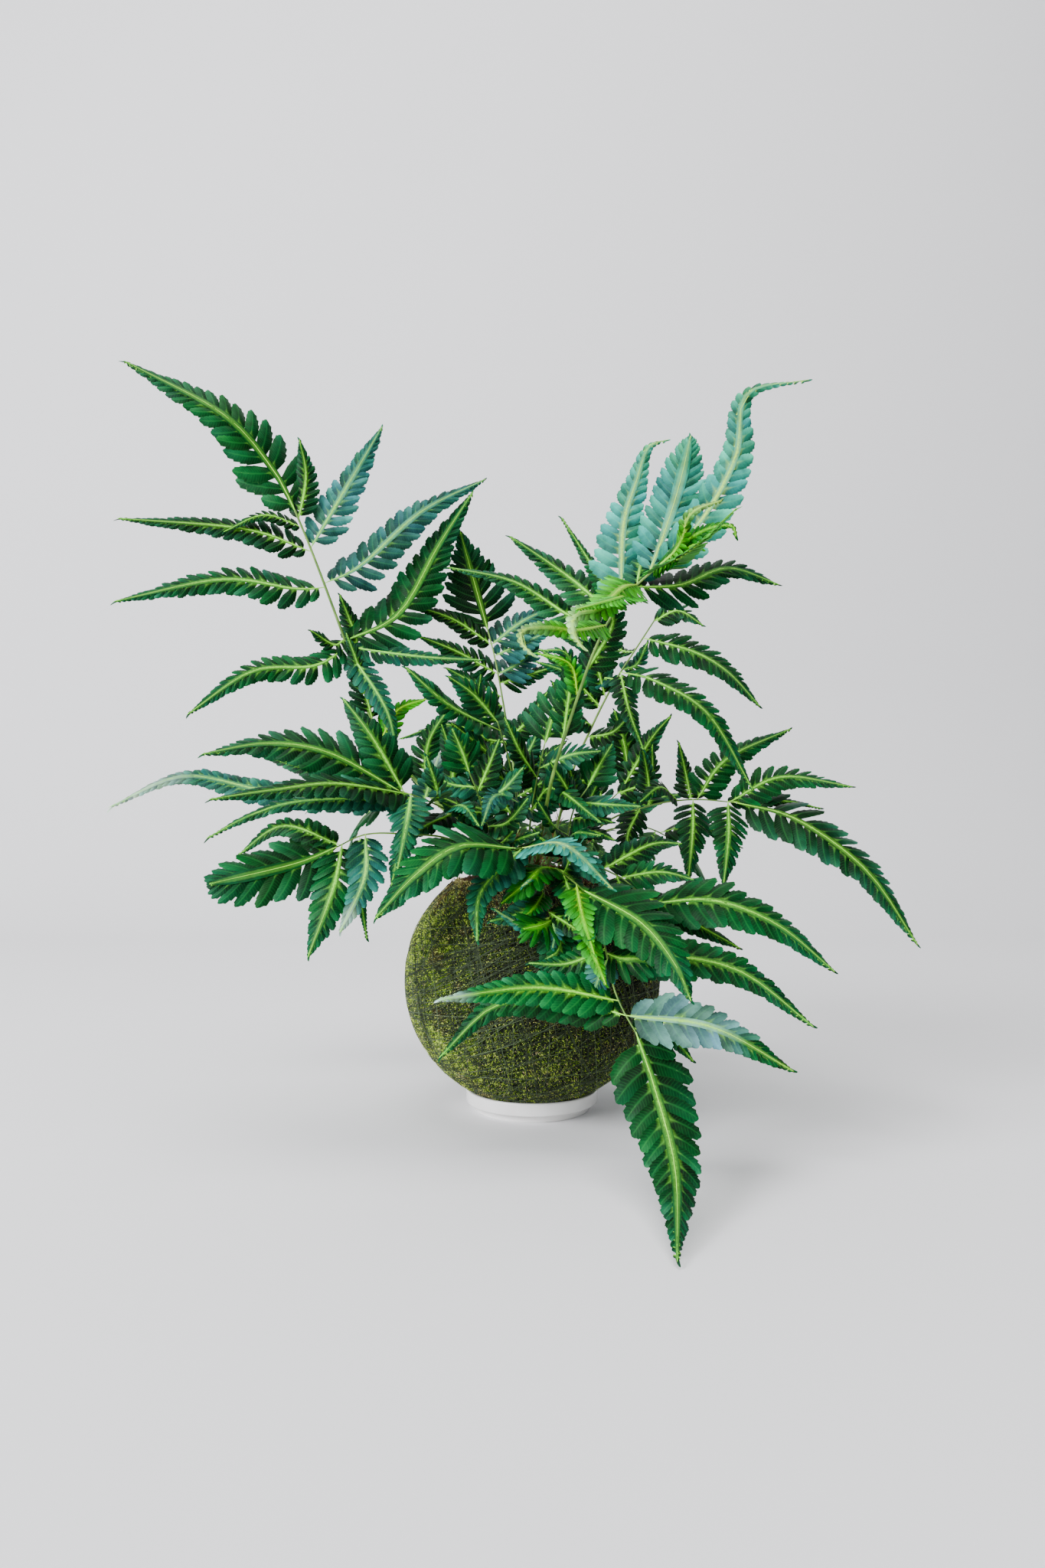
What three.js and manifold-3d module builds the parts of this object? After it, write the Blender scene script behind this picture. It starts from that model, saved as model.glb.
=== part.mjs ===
// Kokedama: a fern growing out of a moss-wrapped ball of soil that sits on a small white dish.
// Millimetres, +Z up. The origin is the centre of the dish's flat foot, and +Y is the plant's back.
import * as THREE from "three";
import { mergeVertices } from "three/addons/utils/BufferGeometryUtils.js";
import Module from "manifold-3d";

const wasm = await Module();
wasm.setup();

// Dish
const dishRadius = 44.5;
const dishFootRadius = 39;
const dishHeight = 13.5;
const dishBandHeight = 5;
const dishWellRadius = 35.5;
const dishWall = 3;
const dishFloor = 3.5;
const dishSides = 28;

// Moss-wrapped ball
const ballRadius = 85;
const ballHalfHeight = 83;
const fitGap = 0.35;
const ballCentreHeight = dishFloor + fitGap + ballHalfHeight;
const mossThickness = 6;
const openingAngle = 48;
const ballSides = 20;
const ballSteps = 8;
const soilTopHeight = 162;

// Binding thread
const threadRadius = 0.5;
const hoopRadius = 86.4;
const hoopSides = 24;
const hoopTilt = 37;
const hoopCount = 4;

// Fronds
const rootDepth = 138;
const soilSurface = 163;
const stipeRadius = 1.7;
const rachisTipRadius = 1.0;
const stipeSides = 4;
const rachisPitch = 32;
const holeRadius = 2.6;
const bladeThickness = 0.8;
const stalkHalfWidth = 1.0;
const lobePitch = 31;
const fewestLobes = 3;
const mostLobes = 6;
const bladeArch = 0.2;
const valleyDepth = 0.34;

const radians = THREE.MathUtils.degToRad;
const vector = ([x, y, z]) => new THREE.Vector3(x, y, z);

// A leaflet leaves the rachis at a fraction of its length and runs through the given points to its tip.
// Fullness 1 narrows evenly to the tip; above 1 the blade stays broad for longer.
function leaflet(at, width, fullness, ...points) {
  return { at, width, fullness, points };
}

// Each frond: where its stipe stands in the soil, the way its upper side faces, its rachis and leaflets.
const fronds = [
  {
    name: "frond_upper_left",
    root: [-16, 4],
    face: [0.1, -0.85, 0.5],
    rachis: [[-72, 14, 212], [-111, 20, 261], [-131, 22, 318], [-154, 24, 379], [-169, 26, 415]],
    leaflets: [
      leaflet(1, 64, 1.05, [-184, 24, 443], [-217, 12, 479], [-285, 4, 514]),
      leaflet(0.975, 25, 1.5, [-162, 30, 441], [-166, 26, 466]),
      leaflet(0.9, 36, 1.6, [-138, 34, 426], [-109, 44, 482]),
      leaflet(0.89, 30, 1.5, [-200, 10, 397], [-281, -14, 398]),
      leaflet(0.955, 15, 1.5, [-188, 14, 408], [-213, 2, 393]),
      leaflet(0.8, 36, 1.5, [-166, 14, 356], [-214, 2, 360], [-277, -30, 338]),
      leaflet(0.81, 41, 1.5, [-123, 34, 377], [-81, 48, 420], [-34, 66, 450]),
      leaflet(0.665, 53, 1.3, [-96, 38, 343], [-68, 52, 397], [-43, 60, 439]),
      leaflet(0.65, 32, 1.5, [-151, 8, 301], [-190, -8, 295], [-226, -34, 263]),
      leaflet(0.67, 22, 1.4, [-139, 16, 317], [-153, 4, 325]),
      leaflet(0.675, 25, 1.4, [-125, 30, 322], [-138, 34, 356]),
      leaflet(0.65, 23, 1.5, [-79, 26, 310], [-35, 22, 307]),
      leaflet(0.64, 25, 1.5, [-102, 6, 273], [-92, -6, 243]),
    ],
  },
  {
    name: "frond_left",
    root: [-26, -12],
    face: [-0.1, -0.75, 0.65],
    rachis: [[-47, -40, 194], [-65, -60, 206], [-84, -72, 213]],
    leaflets: [
      leaflet(1, 53, 1.2, [-123, -86, 235], [-157, -100, 240], [-190, -124, 232]),
      leaflet(0.95, 34, 1.4, [-98, -76, 244], [-118, -70, 270]),
      leaflet(0.93, 32, 1.5, [-160, -66, 212], [-219, -60, 222], [-263, -70, 202]),
      leaflet(0.9, 34, 1.4, [-115, -106, 216], [-146, -126, 212], [-179, -146, 206]),
      leaflet(0.84, 23, 1.5, [-133, -104, 206], [-162, -114, 198], [-186, -126, 184]),
      leaflet(0.9, 32, 1.5, [-74, -108, 193], [-77, -128, 166]),
      leaflet(0.8, 28, 1.3, [-65, -48, 221], [-60, -46, 236]),
      leaflet(0.62, 25, 1.4, [-42, -92, 203], [-32, -100, 191]),
      leaflet(0.97, 30, 1.3, [-144, -52, 228], [-181, -40, 239]),
      leaflet(0.75, 26, 1.3, [-58, -84, 211], [-64, -92, 233]),
    ],
  },
  {
    name: "frond_lower_left",
    root: [-31, -27],
    face: [0, -0.8, 0.6],
    rachis: [[-51, -64, 182], [-77, -84, 186], [-100, -92, 186], [-118, -96, 178]],
    leaflets: [
      leaflet(1, 48, 3, [-140, -102, 169], [-186, -118, 158]),
      leaflet(0.97, 23, 1.4, [-152, -82, 191], [-179, -84, 173]),
      leaflet(0.96, 34, 1.5, [-116, -112, 155], [-128, -124, 117]),
      leaflet(0.84, 29, 1.5, [-98, -112, 161], [-110, -124, 131]),
      leaflet(0.87, 14, 1.3, [-104, -86, 151], [-99, -94, 124]),
      leaflet(0.62, 18, 1.3, [-80, -98, 173], [-83, -106, 156]),
    ],
  },
  {
    name: "frond_back_left",
    root: [-8, 19],
    face: [0, -0.85, 0.5],
    rachis: [[-12, 40, 224], [-20, 58, 276], [-27, 68, 314], [-33, 72, 338]],
    leaflets: [
      leaflet(1, 68, 1, [-42, 74, 370], [-54, 72, 413]),
      leaflet(0.93, 23, 1.4, [-59, 64, 344], [-94, 56, 354]),
      leaflet(0.93, 38, 1.3, [-7, 82, 345], [17, 90, 358]),
      leaflet(0.8, 28, 1.4, [-55, 54, 318], [-83, 44, 328]),
      leaflet(0.8, 38, 1.3, [-8, 80, 314], [6, 86, 330]),
      leaflet(0.7, 28, 1.4, [-41, 54, 294], [-63, 54, 306]),
      leaflet(0.66, 26, 1.3, [-37, 50, 283], [-37, 46, 300]),
      leaflet(0.5, 28, 1.3, [-35, 36, 254], [-53, 28, 275]),
      leaflet(0.52, 28, 1.3, [-3, 58, 267], [13, 60, 290]),
    ],
  },
  {
    name: "frond_centre_left",
    root: [-13, -10],
    face: [-0.2, -0.8, 0.55],
    rachis: [[-10, -16, 202], [-15, -26, 232], [-23, -34, 259]],
    leaflets: [
      leaflet(1, 34, 1.2, [-38, -44, 275], [-54, -52, 286]),
      leaflet(0.93, 34, 1.4, [-52, -66, 266], [-79, -74, 289]),
      leaflet(0.62, 34, 1.4, [-27, -52, 236], [-51, -66, 255]),
      leaflet(0.5, 28, 1.4, [-24, -36, 224], [-50, -46, 232]),
      leaflet(0.72, 23, 1.3, [-3, -16, 240], [5, -14, 256]),
    ],
  },
  {
    name: "frond_centre",
    root: [-4, -22],
    face: [0, -0.85, 0.5],
    rachis: [[-1, -24, 196], [3, -32, 221], [8, -36, 244]],
    leaflets: [
      leaflet(1, 50, 1, [16, -34, 269], [32, -30, 296]),
      leaflet(0.8, 30, 1.3, [24, -46, 236], [43, -56, 238]),
      leaflet(0.45, 28, 1.4, [-22, -74, 210], [-31, -96, 191]),
      leaflet(0.45, 25, 1.4, [13, -42, 215], [41, -86, 193]),
      leaflet(0.72, 28, 1.2, [-8, -50, 238], [-18, -54, 260]),
    ],
  },
  {
    name: "frond_upper_right",
    root: [3, -8],
    face: [0, -0.8, 0.6],
    rachis: [[11, -62, 216], [23, -82, 257], [37, -96, 297], [52, -102, 324], [73, -106, 344]],
    leaflets: [
      leaflet(0.97, 37, 3.6, [80, -96, 371], [90, -85, 402], [97, -80, 431]),
      leaflet(0.87, 44, 1, [55, -84, 374], [64, -74, 404], [72, -69, 427], [85, -67, 433]),
      leaflet(1, 40, 1, [97, -116, 368], [117, -118, 405], [125, -112, 444], [160, -118, 450]),
      leaflet(0.93, 28, 1.3, [68, -78, 371], [55, -70, 394]),
      leaflet(0.86, 17, 1.4, [35, -66, 357], [18, -60, 386]),
      leaflet(0.83, 34, 1.4, [23, -78, 343], [-15, -72, 371]),
      leaflet(0.78, 28, 1.4, [20, -84, 320], [-12, -78, 341], [-53, -78, 350]),
      leaflet(0.92, 41, 1.3, [89, -92, 336], [118, -88, 347], [148, -92, 336]),
      leaflet(0.9, 30, 1.3, [44, -172, 312], [19, -222, 296]),
      leaflet(0.98, 30, 1.2, [82, -170, 338], [98, -216, 347]),
      leaflet(0.8, 23, 1.4, [15, -150, 299], [-4, -184, 295]),
      leaflet(0.6, 16, 1.3, [22, -92, 288], [2, -98, 294]),
    ],
  },
  {
    name: "frond_right_high",
    root: [11, 10],
    face: [0.1, -0.85, 0.5],
    rachis: [[27, 22, 223], [43, 22, 261], [59, 20, 292], [75, 16, 317], [86, 12, 334]],
    leaflets: [
      leaflet(1, 23, 1.3, [101, 6, 339], [117, -4, 327]),
      leaflet(0.92, 32, 1.5, [111, 2, 310], [132, -12, 294], [150, -28, 269]),
      leaflet(0.77, 32, 1.5, [84, 2, 290], [117, -20, 265], [142, -44, 213]),
      leaflet(0.77, 23, 1.4, [66, -4, 269], [74, -20, 241]),
      leaflet(0.78, 21, 1.3, [75, 28, 305], [83, 30, 321]),
      leaflet(0.74, 23, 1.4, [31, 26, 298], [3, 22, 306]),
      leaflet(0.86, 16, 1.3, [63, 30, 316], [56, 34, 331]),
      leaflet(0.55, 24, 1.3, [24, 8, 268], [14, 2, 289]),
      leaflet(0.5, 26, 1.3, [56, 10, 255], [69, 6, 268]),
    ],
  },
  {
    name: "frond_right_back",
    root: [19, 25],
    face: [0.1, -0.85, 0.5],
    rachis: [[47, 70, 196], [69, 88, 217], [76, 92, 229]],
    leaflets: [
      leaflet(1, 48, 1.2, [72, 96, 253], [65, 98, 279]),
      leaflet(0.9, 30, 1.3, [92, 92, 255], [108, 92, 274]),
      leaflet(0.82, 25, 1.3, [90, 84, 225], [92, 78, 251]),
      leaflet(0.7, 28, 1.3, [48, 90, 223], [35, 92, 246]),
    ],
  },
  {
    name: "frond_right",
    root: [24, 1],
    face: [0.1, -0.75, 0.65],
    rachis: [[50, 2, 192], [81, 2, 204], [109, -4, 208], [137, -12, 206]],
    leaflets: [
      leaflet(1, 51, 1.2, [173, -28, 195], [211, -52, 163], [232, -84, 119]),
      leaflet(0.97, 32, 1.4, [167, -14, 223], [209, -34, 216]),
      leaflet(0.96, 31, 1.4, [127, -38, 184], [120, -56, 152]),
      leaflet(0.95, 16, 1.4, [173, 0, 207], [196, -6, 202]),
      leaflet(0.78, 29, 1.4, [105, -30, 185], [99, -48, 155]),
      leaflet(0.8, 32, 1.4, [137, 18, 237], [185, 30, 259]),
      leaflet(0.77, 23, 1.4, [108, 20, 228], [104, 24, 249]),
      leaflet(0.7, 23, 1.4, [85, -22, 216], [70, -36, 206]),
      leaflet(0.55, 24, 1.3, [82, 22, 223], [78, 26, 248]),
      leaflet(0.5, 24, 1.3, [63, -20, 181], [71, -34, 162]),
    ],
  },
  {
    name: "frond_lower_right",
    root: [26, -15],
    face: [0.1, -0.75, 0.65],
    rachis: [[34, -58, 167], [54, -80, 159], [70, -92, 144]],
    leaflets: [
      leaflet(1, 44, 1.3, [104, -108, 148], [139, -118, 135], [168, -132, 110]),
      leaflet(0.6, 28, 1.4, [73, -64, 179], [92, -70, 180]),
      leaflet(0.74, 25, 1.4, [77, -82, 163], [96, -90, 159]),
      leaflet(0.9, 28, 1.3, [96, -84, 133], [125, -84, 117]),
      leaflet(0.7, 20, 1.3, [55, -103, 147], [62, -109, 132]),
    ],
  },
  {
    name: "frond_front_right",
    root: [16, -29],
    face: [-0.1, -0.75, 0.65],
    rachis: [[15, -68, 164], [24, -100, 158], [29, -116, 154]],
    leaflets: [
      leaflet(1, 57, 1.1, [58, -142, 139], [74, -162, 119], [81, -174, 101]),
      leaflet(0.85, 25, 1.3, [27, -134, 141], [33, -142, 121]),
      leaflet(0.6, 28, 1.4, [26, -96, 174], [44, -116, 155]),
    ],
  },
  {
    name: "frond_front_trailing",
    root: [7, -38],
    face: [0, -0.85, 0.5],
    rachis: [[21, -82, 155], [38, -116, 130], [44, -130, 103], [49, -138, 90], [56, -146, 78]],
    leaflets: [
      leaflet(1, 54, 1, [63, -166, 54], [68, -204, 25], [61, -260, 1.2]),
      leaflet(0.86, 29, 1.5, [1, -136, 102], [-53, -146, 97]),
      leaflet(0.92, 30, 1.5, [21, -124, 92], [-21, -116, 89], [-54, -122, 60]),
      leaflet(0.92, 37, 1.3, [96, -150, 83], [136, -166, 63]),
      leaflet(0.975, 21, 1.3, [74, -130, 76], [89, -130, 60]),
      leaflet(0.68, 34, 1.4, [79, -124, 118], [116, -134, 110], [151, -150, 83]),
      leaflet(0.55, 23, 1.3, [31, -132, 127], [39, -146, 105]),
      leaflet(0.66, 23, 1.3, [19, -120, 113], [-3, -118, 113]),
    ],
  },
  {
    name: "frond_front_left",
    root: [-16, -36],
    face: [0, -0.7, 0.7],
    rachis: [[-4, -72, 176], [-11, -102, 178]],
    leaflets: [
      leaflet(1, 57, 1.2, [-42, -124, 180], [-65, -138, 165], [-87, -150, 141]),
      leaflet(0.8, 30, 1.4, [-30, -120, 154], [-32, -132, 127]),
      leaflet(0.8, 30, 1.4, [17, -136, 181], [43, -148, 157]),
    ],
  },
  {
    name: "frond_front_low",
    root: [-5, -46],
    face: [0, -0.9, 0.4],
    rachis: [[5, -66, 156], [7, -88, 146], [11, -98, 135]],
    leaflets: [
      leaflet(1, 34, 1.1, [12, -106, 121], [5, -108, 109]),
      leaflet(0.55, 25, 1.3, [-6, -96, 157], [-19, -106, 146]),
      leaflet(0.75, 23, 1.3, [-8, -92, 139], [-26, -90, 134]),
      leaflet(0.9, 28, 1.3, [23, -100, 133], [33, -104, 121]),
    ],
  },
  {
    name: "frond_back_high",
    root: [-3, 36],
    face: [0, -0.6, 0.8],
    rachis: [[-15, 92, 202], [-25, 128, 239], [-33, 150, 266]],
    leaflets: [
      leaflet(1, 51, 1.2, [-42, 176, 287], [-54, 214, 298]),
      leaflet(0.92, 34, 1.4, [-66, 160, 273], [-112, 176, 262]),
      leaflet(0.92, 34, 1.4, [-2, 168, 273], [33, 190, 263]),
      leaflet(0.7, 32, 1.4, [-57, 124, 242], [-92, 136, 221]),
      leaflet(0.7, 30, 1.4, [8, 136, 240], [38, 156, 222]),
      leaflet(0.5, 30, 1.3, [-48, 100, 214], [-76, 104, 231]),
      leaflet(0.5, 30, 1.3, [4, 108, 220], [33, 112, 238]),
      leaflet(0.3, 26, 1.3, [-38, 80, 189], [-60, 84, 196]),
    ],
  },
  {
    name: "frond_back_left_low",
    root: [-23, 22],
    face: [-0.2, -0.55, 0.8],
    rachis: [[-54, 72, 202], [-89, 104, 214], [-118, 126, 208]],
    leaflets: [
      leaflet(1, 51, 1.2, [-140, 150, 193], [-156, 176, 164]),
      leaflet(0.9, 32, 1.4, [-138, 104, 220], [-177, 112, 200]),
      leaflet(0.85, 32, 1.4, [-93, 146, 204], [-86, 178, 182]),
      leaflet(0.62, 30, 1.4, [-86, 72, 228], [-111, 70, 235]),
      leaflet(0.6, 30, 1.4, [-50, 112, 202], [-39, 140, 184]),
      leaflet(0.4, 26, 1.3, [-53, 60, 225], [-72, 58, 244]),
      leaflet(0.95, 30, 1.3, [-118, 120, 239], [-105, 118, 263]),
    ],
  },
  {
    name: "frond_back_low",
    root: [8, 46],
    face: [0, 0.5, 0.85],
    rachis: [[0, 96, 184], [4, 130, 189], [8, 158, 177]],
    leaflets: [
      leaflet(1, 53, 1.2, [11, 180, 151], [14, 200, 110]),
      leaflet(0.86, 32, 1.4, [-27, 156, 177], [-56, 172, 151]),
      leaflet(0.86, 32, 1.4, [44, 160, 177], [74, 180, 153]),
      leaflet(0.6, 28, 1.4, [-32, 112, 187], [-57, 124, 172]),
      leaflet(0.6, 28, 1.4, [31, 118, 190], [60, 134, 184]),
    ],
  },
  {
    name: "frond_back_right_low",
    root: [31, 16],
    face: [0.2, -0.55, 0.8],
    rachis: [[50, 84, 183], [88, 112, 188], [118, 132, 176]],
    leaflets: [
      leaflet(1, 51, 1.2, [137, 152, 158], [153, 172, 130]),
      leaflet(0.88, 32, 1.4, [133, 110, 190], [166, 112, 172]),
      leaflet(0.85, 32, 1.4, [96, 150, 171], [94, 176, 144]),
      leaflet(0.6, 30, 1.4, [91, 84, 208], [120, 80, 214]),
      leaflet(0.58, 28, 1.4, [50, 118, 181], [49, 142, 159]),
      leaflet(0.75, 28, 1.3, [77, 112, 220], [64, 110, 247]),
    ],
  },
  {
    name: "frond_young_left",
    root: [-22, -27],
    face: [0, -0.8, 0.6],
    rachis: [[-33, -58, 206], [-40, -66, 225]],
    leaflets: [
      leaflet(1, 34, 1.1, [-44, -70, 237], [-50, -72, 251]),
      leaflet(0.85, 22, 1.3, [-52, -64, 217], [-65, -62, 225]),
      leaflet(0.8, 24, 1.3, [-27, -62, 230], [-21, -64, 245]),
      leaflet(0.5, 20, 1.3, [-40, -62, 193], [-46, -70, 198]),
    ],
  },
  {
    name: "frond_young_right",
    root: [20, -17],
    face: [0, -0.8, 0.6],
    rachis: [[26, -38, 199], [36, -42, 216]],
    leaflets: [
      leaflet(1, 34, 1.1, [42, -46, 228], [51, -48, 243]),
      leaflet(0.8, 26, 1.3, [49, -56, 204], [67, -66, 203]),
      leaflet(0.75, 20, 1.3, [26, -34, 220], [23, -32, 232]),
      leaflet(0.5, 22, 1.3, [39, -50, 187], [51, -62, 182]),
    ],
  },
];

// Shared vertices merged and triangles without area left out, so that the surface closes on itself.
function toSolid(geometry) {
  const bare = geometry.clone();
  bare.deleteAttribute("normal");
  bare.deleteAttribute("uv");
  const merged = mergeVertices(bare, 1e-4);
  const corners = merged.index.array;
  const kept = [];
  for (let i = 0; i < corners.length; i += 3) {
    const [a, b, c] = corners.slice(i, i + 3);
    if (a !== b && b !== c && c !== a) {
      kept.push(a, b, c);
    }
  }
  const mesh = new wasm.Mesh({
    numProp: 3,
    vertProperties: new Float32Array(merged.attributes.position.array),
    triVerts: new Uint32Array(kept),
  });
  return new wasm.Manifold(mesh);
}

function toGeometry(solid) {
  const mesh = solid.getMesh();
  const geometry = new THREE.BufferGeometry();
  geometry.setAttribute("position", new THREE.BufferAttribute(mesh.vertProperties, 3));
  geometry.setIndex(new THREE.BufferAttribute(mesh.triVerts, 1));
  geometry.computeVertexNormals();
  return geometry;
}

function indexedGeometry(vertices, triangles) {
  const geometry = new THREE.BufferGeometry();
  const positions = vertices.flatMap((vertex) => vertex.toArray());
  geometry.setAttribute("position", new THREE.Float32BufferAttribute(positions, 3));
  geometry.setIndex(triangles);
  return geometry;
}

function addMesh(name, geometry, material) {
  const mesh = new THREE.Mesh(geometry, material);
  mesh.name = name;
  group.add(mesh);
}

// A profile of [radius, height] points turned about the plant's upright axis.
function turned(profile, sides) {
  const points = profile.map(([radius, height]) => new THREE.Vector2(radius, height));
  return new THREE.LatheGeometry(points, sides).rotateX(Math.PI / 2);
}

// Points on a circle about the ball's centre, between two angles of height, as [radius, height].
function ballArc(radius, fromAngle, toAngle, steps) {
  return Array.from({ length: steps + 1 }, (_, i) => {
    const angle = radians(fromAngle + ((toAngle - fromAngle) * i) / steps);
    const height = radius * Math.sin(angle) * ballHalfHeight / ballRadius;
    return [Math.max(0, radius * Math.cos(angle)), ballCentreHeight + height];
  });
}

function dishGeometry() {
  const wellEdge = dishRadius - dishWall;
  return turned([
    [0, 0],
    [dishFootRadius, 0],
    [dishFootRadius + 0.6, dishBandHeight - 0.6],
    [dishRadius - 0.8, dishBandHeight],
    [dishRadius, dishBandHeight + 1],
    [dishRadius, dishHeight - 1],
    [dishRadius - 1, dishHeight],
    [wellEdge + 0.8, dishHeight],
    [wellEdge, dishHeight - 1],
    [wellEdge - 1, dishFloor + 3],
    [dishWellRadius, dishFloor],
    [0, dishFloor],
  ], dishSides);
}

function mossGeometry() {
  const innerRadius = ballRadius - mossThickness;
  const outside = ballArc(ballRadius, -90, openingAngle, ballSteps);
  const inside = ballArc(innerRadius, openingAngle, -90, ballSteps);
  return turned([...outside, ...inside], ballSides);
}

// The ball of soil: it fills the moss, domes up through the opening and has a plain hole for each stipe.
function soilSolid() {
  const soilRadius = ballRadius - mossThickness - fitGap;
  const inside = ballArc(soilRadius, -90, openingAngle, ballSteps);
  const [edgeRadius, edgeHeight] = inside[inside.length - 1];
  const dome = [0.85, 0.6, 0.3, 0].map((share) => [
    edgeRadius * share,
    edgeHeight + (soilTopHeight - edgeHeight) * Math.sqrt(1 - share * share),
  ]);
  const ball = toSolid(turned([...inside, ...dome], ballSides));
  const holes = fronds.map(({ root: [x, y] }) => {
    const depth = soilTopHeight + 10 - (rootDepth - fitGap);
    const hole = new THREE.CylinderGeometry(holeRadius, holeRadius, depth, 5);
    hole.rotateX(Math.PI / 2).translate(x, y, rootDepth - fitGap + depth / 2);
    return toSolid(hole);
  });
  return ball.subtract(wasm.Manifold.union(holes));
}

// One wrap of thread: a thin closed ring about the ball, tilted so that it stays below the opening.
function hoopSolid(turn) {
  const ring = new THREE.TorusGeometry(hoopRadius, threadRadius, 3, hoopSides);
  ring.rotateX(radians(hoopTilt)).rotateZ(turn);
  ring.scale(1, 1, ballHalfHeight / ballRadius).translate(0, 0, ballCentreHeight);
  return toSolid(ring);
}

function threadSolid() {
  const hoops = Array.from({ length: hoopCount }, (_, i) => hoopSolid((2 * Math.PI * i) / hoopCount));
  return wasm.Manifold.union(hoops);
}

// The stipe stands upright from its root to the soil's surface, then the rachis follows the frond's curve.
function rachisCurve(frond) {
  const [x, y] = frond.root;
  const points = [[x, y, soilSurface], ...frond.rachis].map(vector);
  return new THREE.CatmullRomCurve3(points, false, "catmullrom", 0.5);
}

function rachisSolid(frond, curve, line) {
  const steps = line.length - 1;
  const [x, y] = frond.root;
  const centres = [vector([x, y, rootDepth]), ...line];
  const vertices = [];
  const triangles = [];
  centres.forEach((centre, ring) => {
    const along = Math.max(0, (ring - 1) / steps);
    const tangent = ring === 0 ? vector([0, 0, 1]) : curve.getTangentAt(along);
    const side = vector([1, 0, 0]).addScaledVector(tangent, -tangent.x).normalize();
    const other = tangent.clone().cross(side);
    const radius = THREE.MathUtils.lerp(stipeRadius, rachisTipRadius, along);
    for (let i = 0; i < stipeSides; i += 1) {
      const angle = (2 * Math.PI * i) / stipeSides;
      const spoke = side.clone().multiplyScalar(Math.cos(angle)).addScaledVector(other, Math.sin(angle));
      vertices.push(centre.clone().addScaledVector(spoke, radius));
    }
  });
  for (let ring = 0; ring < centres.length - 1; ring += 1) {
    for (let i = 0; i < stipeSides; i += 1) {
      const low = ring * stipeSides + i;
      const lowNext = ring * stipeSides + ((i + 1) % stipeSides);
      triangles.push(low, lowNext, lowNext + stipeSides, low, lowNext + stipeSides, low + stipeSides);
    }
  }
  const last = (centres.length - 1) * stipeSides;
  for (let i = 1; i < stipeSides - 1; i += 1) {
    triangles.push(0, i + 1, i, last, last + i, last + i + 1);
  }
  return toSolid(indexedGeometry(vertices, triangles));
}

// A leaflet's blade: a thin strip along the rib with pointed lobes on both sides, arched down from the
// rib. Its upper and lower face have the same triangles, one blade thickness apart.
function bladeSolid(curve, face, { width, fullness }) {
  const length = curve.getLength();
  const lobes = THREE.MathUtils.clamp(Math.round(length / lobePitch), fewestLobes, mostLobes);
  const outline = { left: [], right: [] };
  const halfWidthAt = (along) => (width / 2) * Math.min(1, along / 0.12) * (1 - along ** fullness);
  const place = (along, across) => {
    const centre = curve.getPointAt(along);
    const tangent = curve.getTangentAt(along);
    const normal = face.clone().addScaledVector(tangent, -face.dot(tangent)).normalize();
    const sideways = tangent.clone().cross(normal);
    const drop = bladeArch * Math.abs(across);
    const middle = centre.addScaledVector(sideways, across).addScaledVector(normal, -drop);
    return { middle, normal };
  };
  const firstLobe = 0.07;
  for (const [side, sign] of [["left", -1], ["right", 1]]) {
    outline[side].push(place(0, sign * stalkHalfWidth));
    for (let i = 0; i < lobes; i += 1) {
      const start = firstLobe + ((1 - firstLobe) * i) / lobes;
      const step = (1 - firstLobe) / lobes;
      const valley = Math.max(stalkHalfWidth, valleyDepth * halfWidthAt(start));
      const peakAt = start + step * 0.62;
      outline[side].push(place(start, sign * valley));
      outline[side].push(place(peakAt, sign * Math.max(stalkHalfWidth, halfWidthAt(peakAt - step * 0.3))));
    }
  }
  const tip = place(1, 0);
  const ring = [...outline.left, tip, ...outline.right.reverse()];
  const count = ring.length;
  const vertices = [
    ...ring.map(({ middle, normal }) => middle.clone().addScaledVector(normal, bladeThickness / 2)),
    ...ring.map(({ middle, normal }) => middle.clone().addScaledVector(normal, -bladeThickness / 2)),
  ];
  const faces = [];
  const left = (i) => i;
  const right = (i) => count - 1 - i;
  faces.push([left(0), right(0), right(1)], [left(0), right(1), left(1)]);
  for (let i = 0; i < lobes; i += 1) {
    const start = 1 + 2 * i;
    const end = start + 2;
    faces.push([left(start), left(end), left(start + 1)]);
    faces.push([right(start), right(start + 1), right(end)]);
    if (i < lobes - 1) {
      faces.push([left(start), right(start), right(end)], [left(start), right(end), left(end)]);
    } else {
      faces.push([left(start), right(start), left(end)]);
    }
  }
  const triangles = [];
  for (const [a, b, c] of faces) {
    triangles.push(a, b, c, a + count, c + count, b + count);
  }
  for (let i = 0; i < count; i += 1) {
    const next = (i + 1) % count;
    triangles.push(i, next, next + count, i, next + count, i + count);
  }
  return toSolid(indexedGeometry(vertices, triangles));
}

// Stipe, rachis and leaflets joined into one closed body.
function frondSolid(frond) {
  const curve = rachisCurve(frond);
  const steps = Math.max(4, Math.round(curve.getLength() / rachisPitch));
  const line = curve.getSpacedPoints(steps);
  const face = vector(frond.face).normalize();
  const blades = frond.leaflets.map((leaf) => {
    const reached = Math.min(leaf.at, 0.99) * steps;
    const before = Math.floor(reached);
    const start = line[before].clone().lerp(line[before + 1], reached - before);
    const rib = new THREE.CatmullRomCurve3([start, ...leaf.points.map(vector)], false, "catmullrom", 0.5);
    return bladeSolid(rib, face, leaf);
  });
  return wasm.Manifold.union([rachisSolid(frond, curve, line), ...blades]);
}

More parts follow.
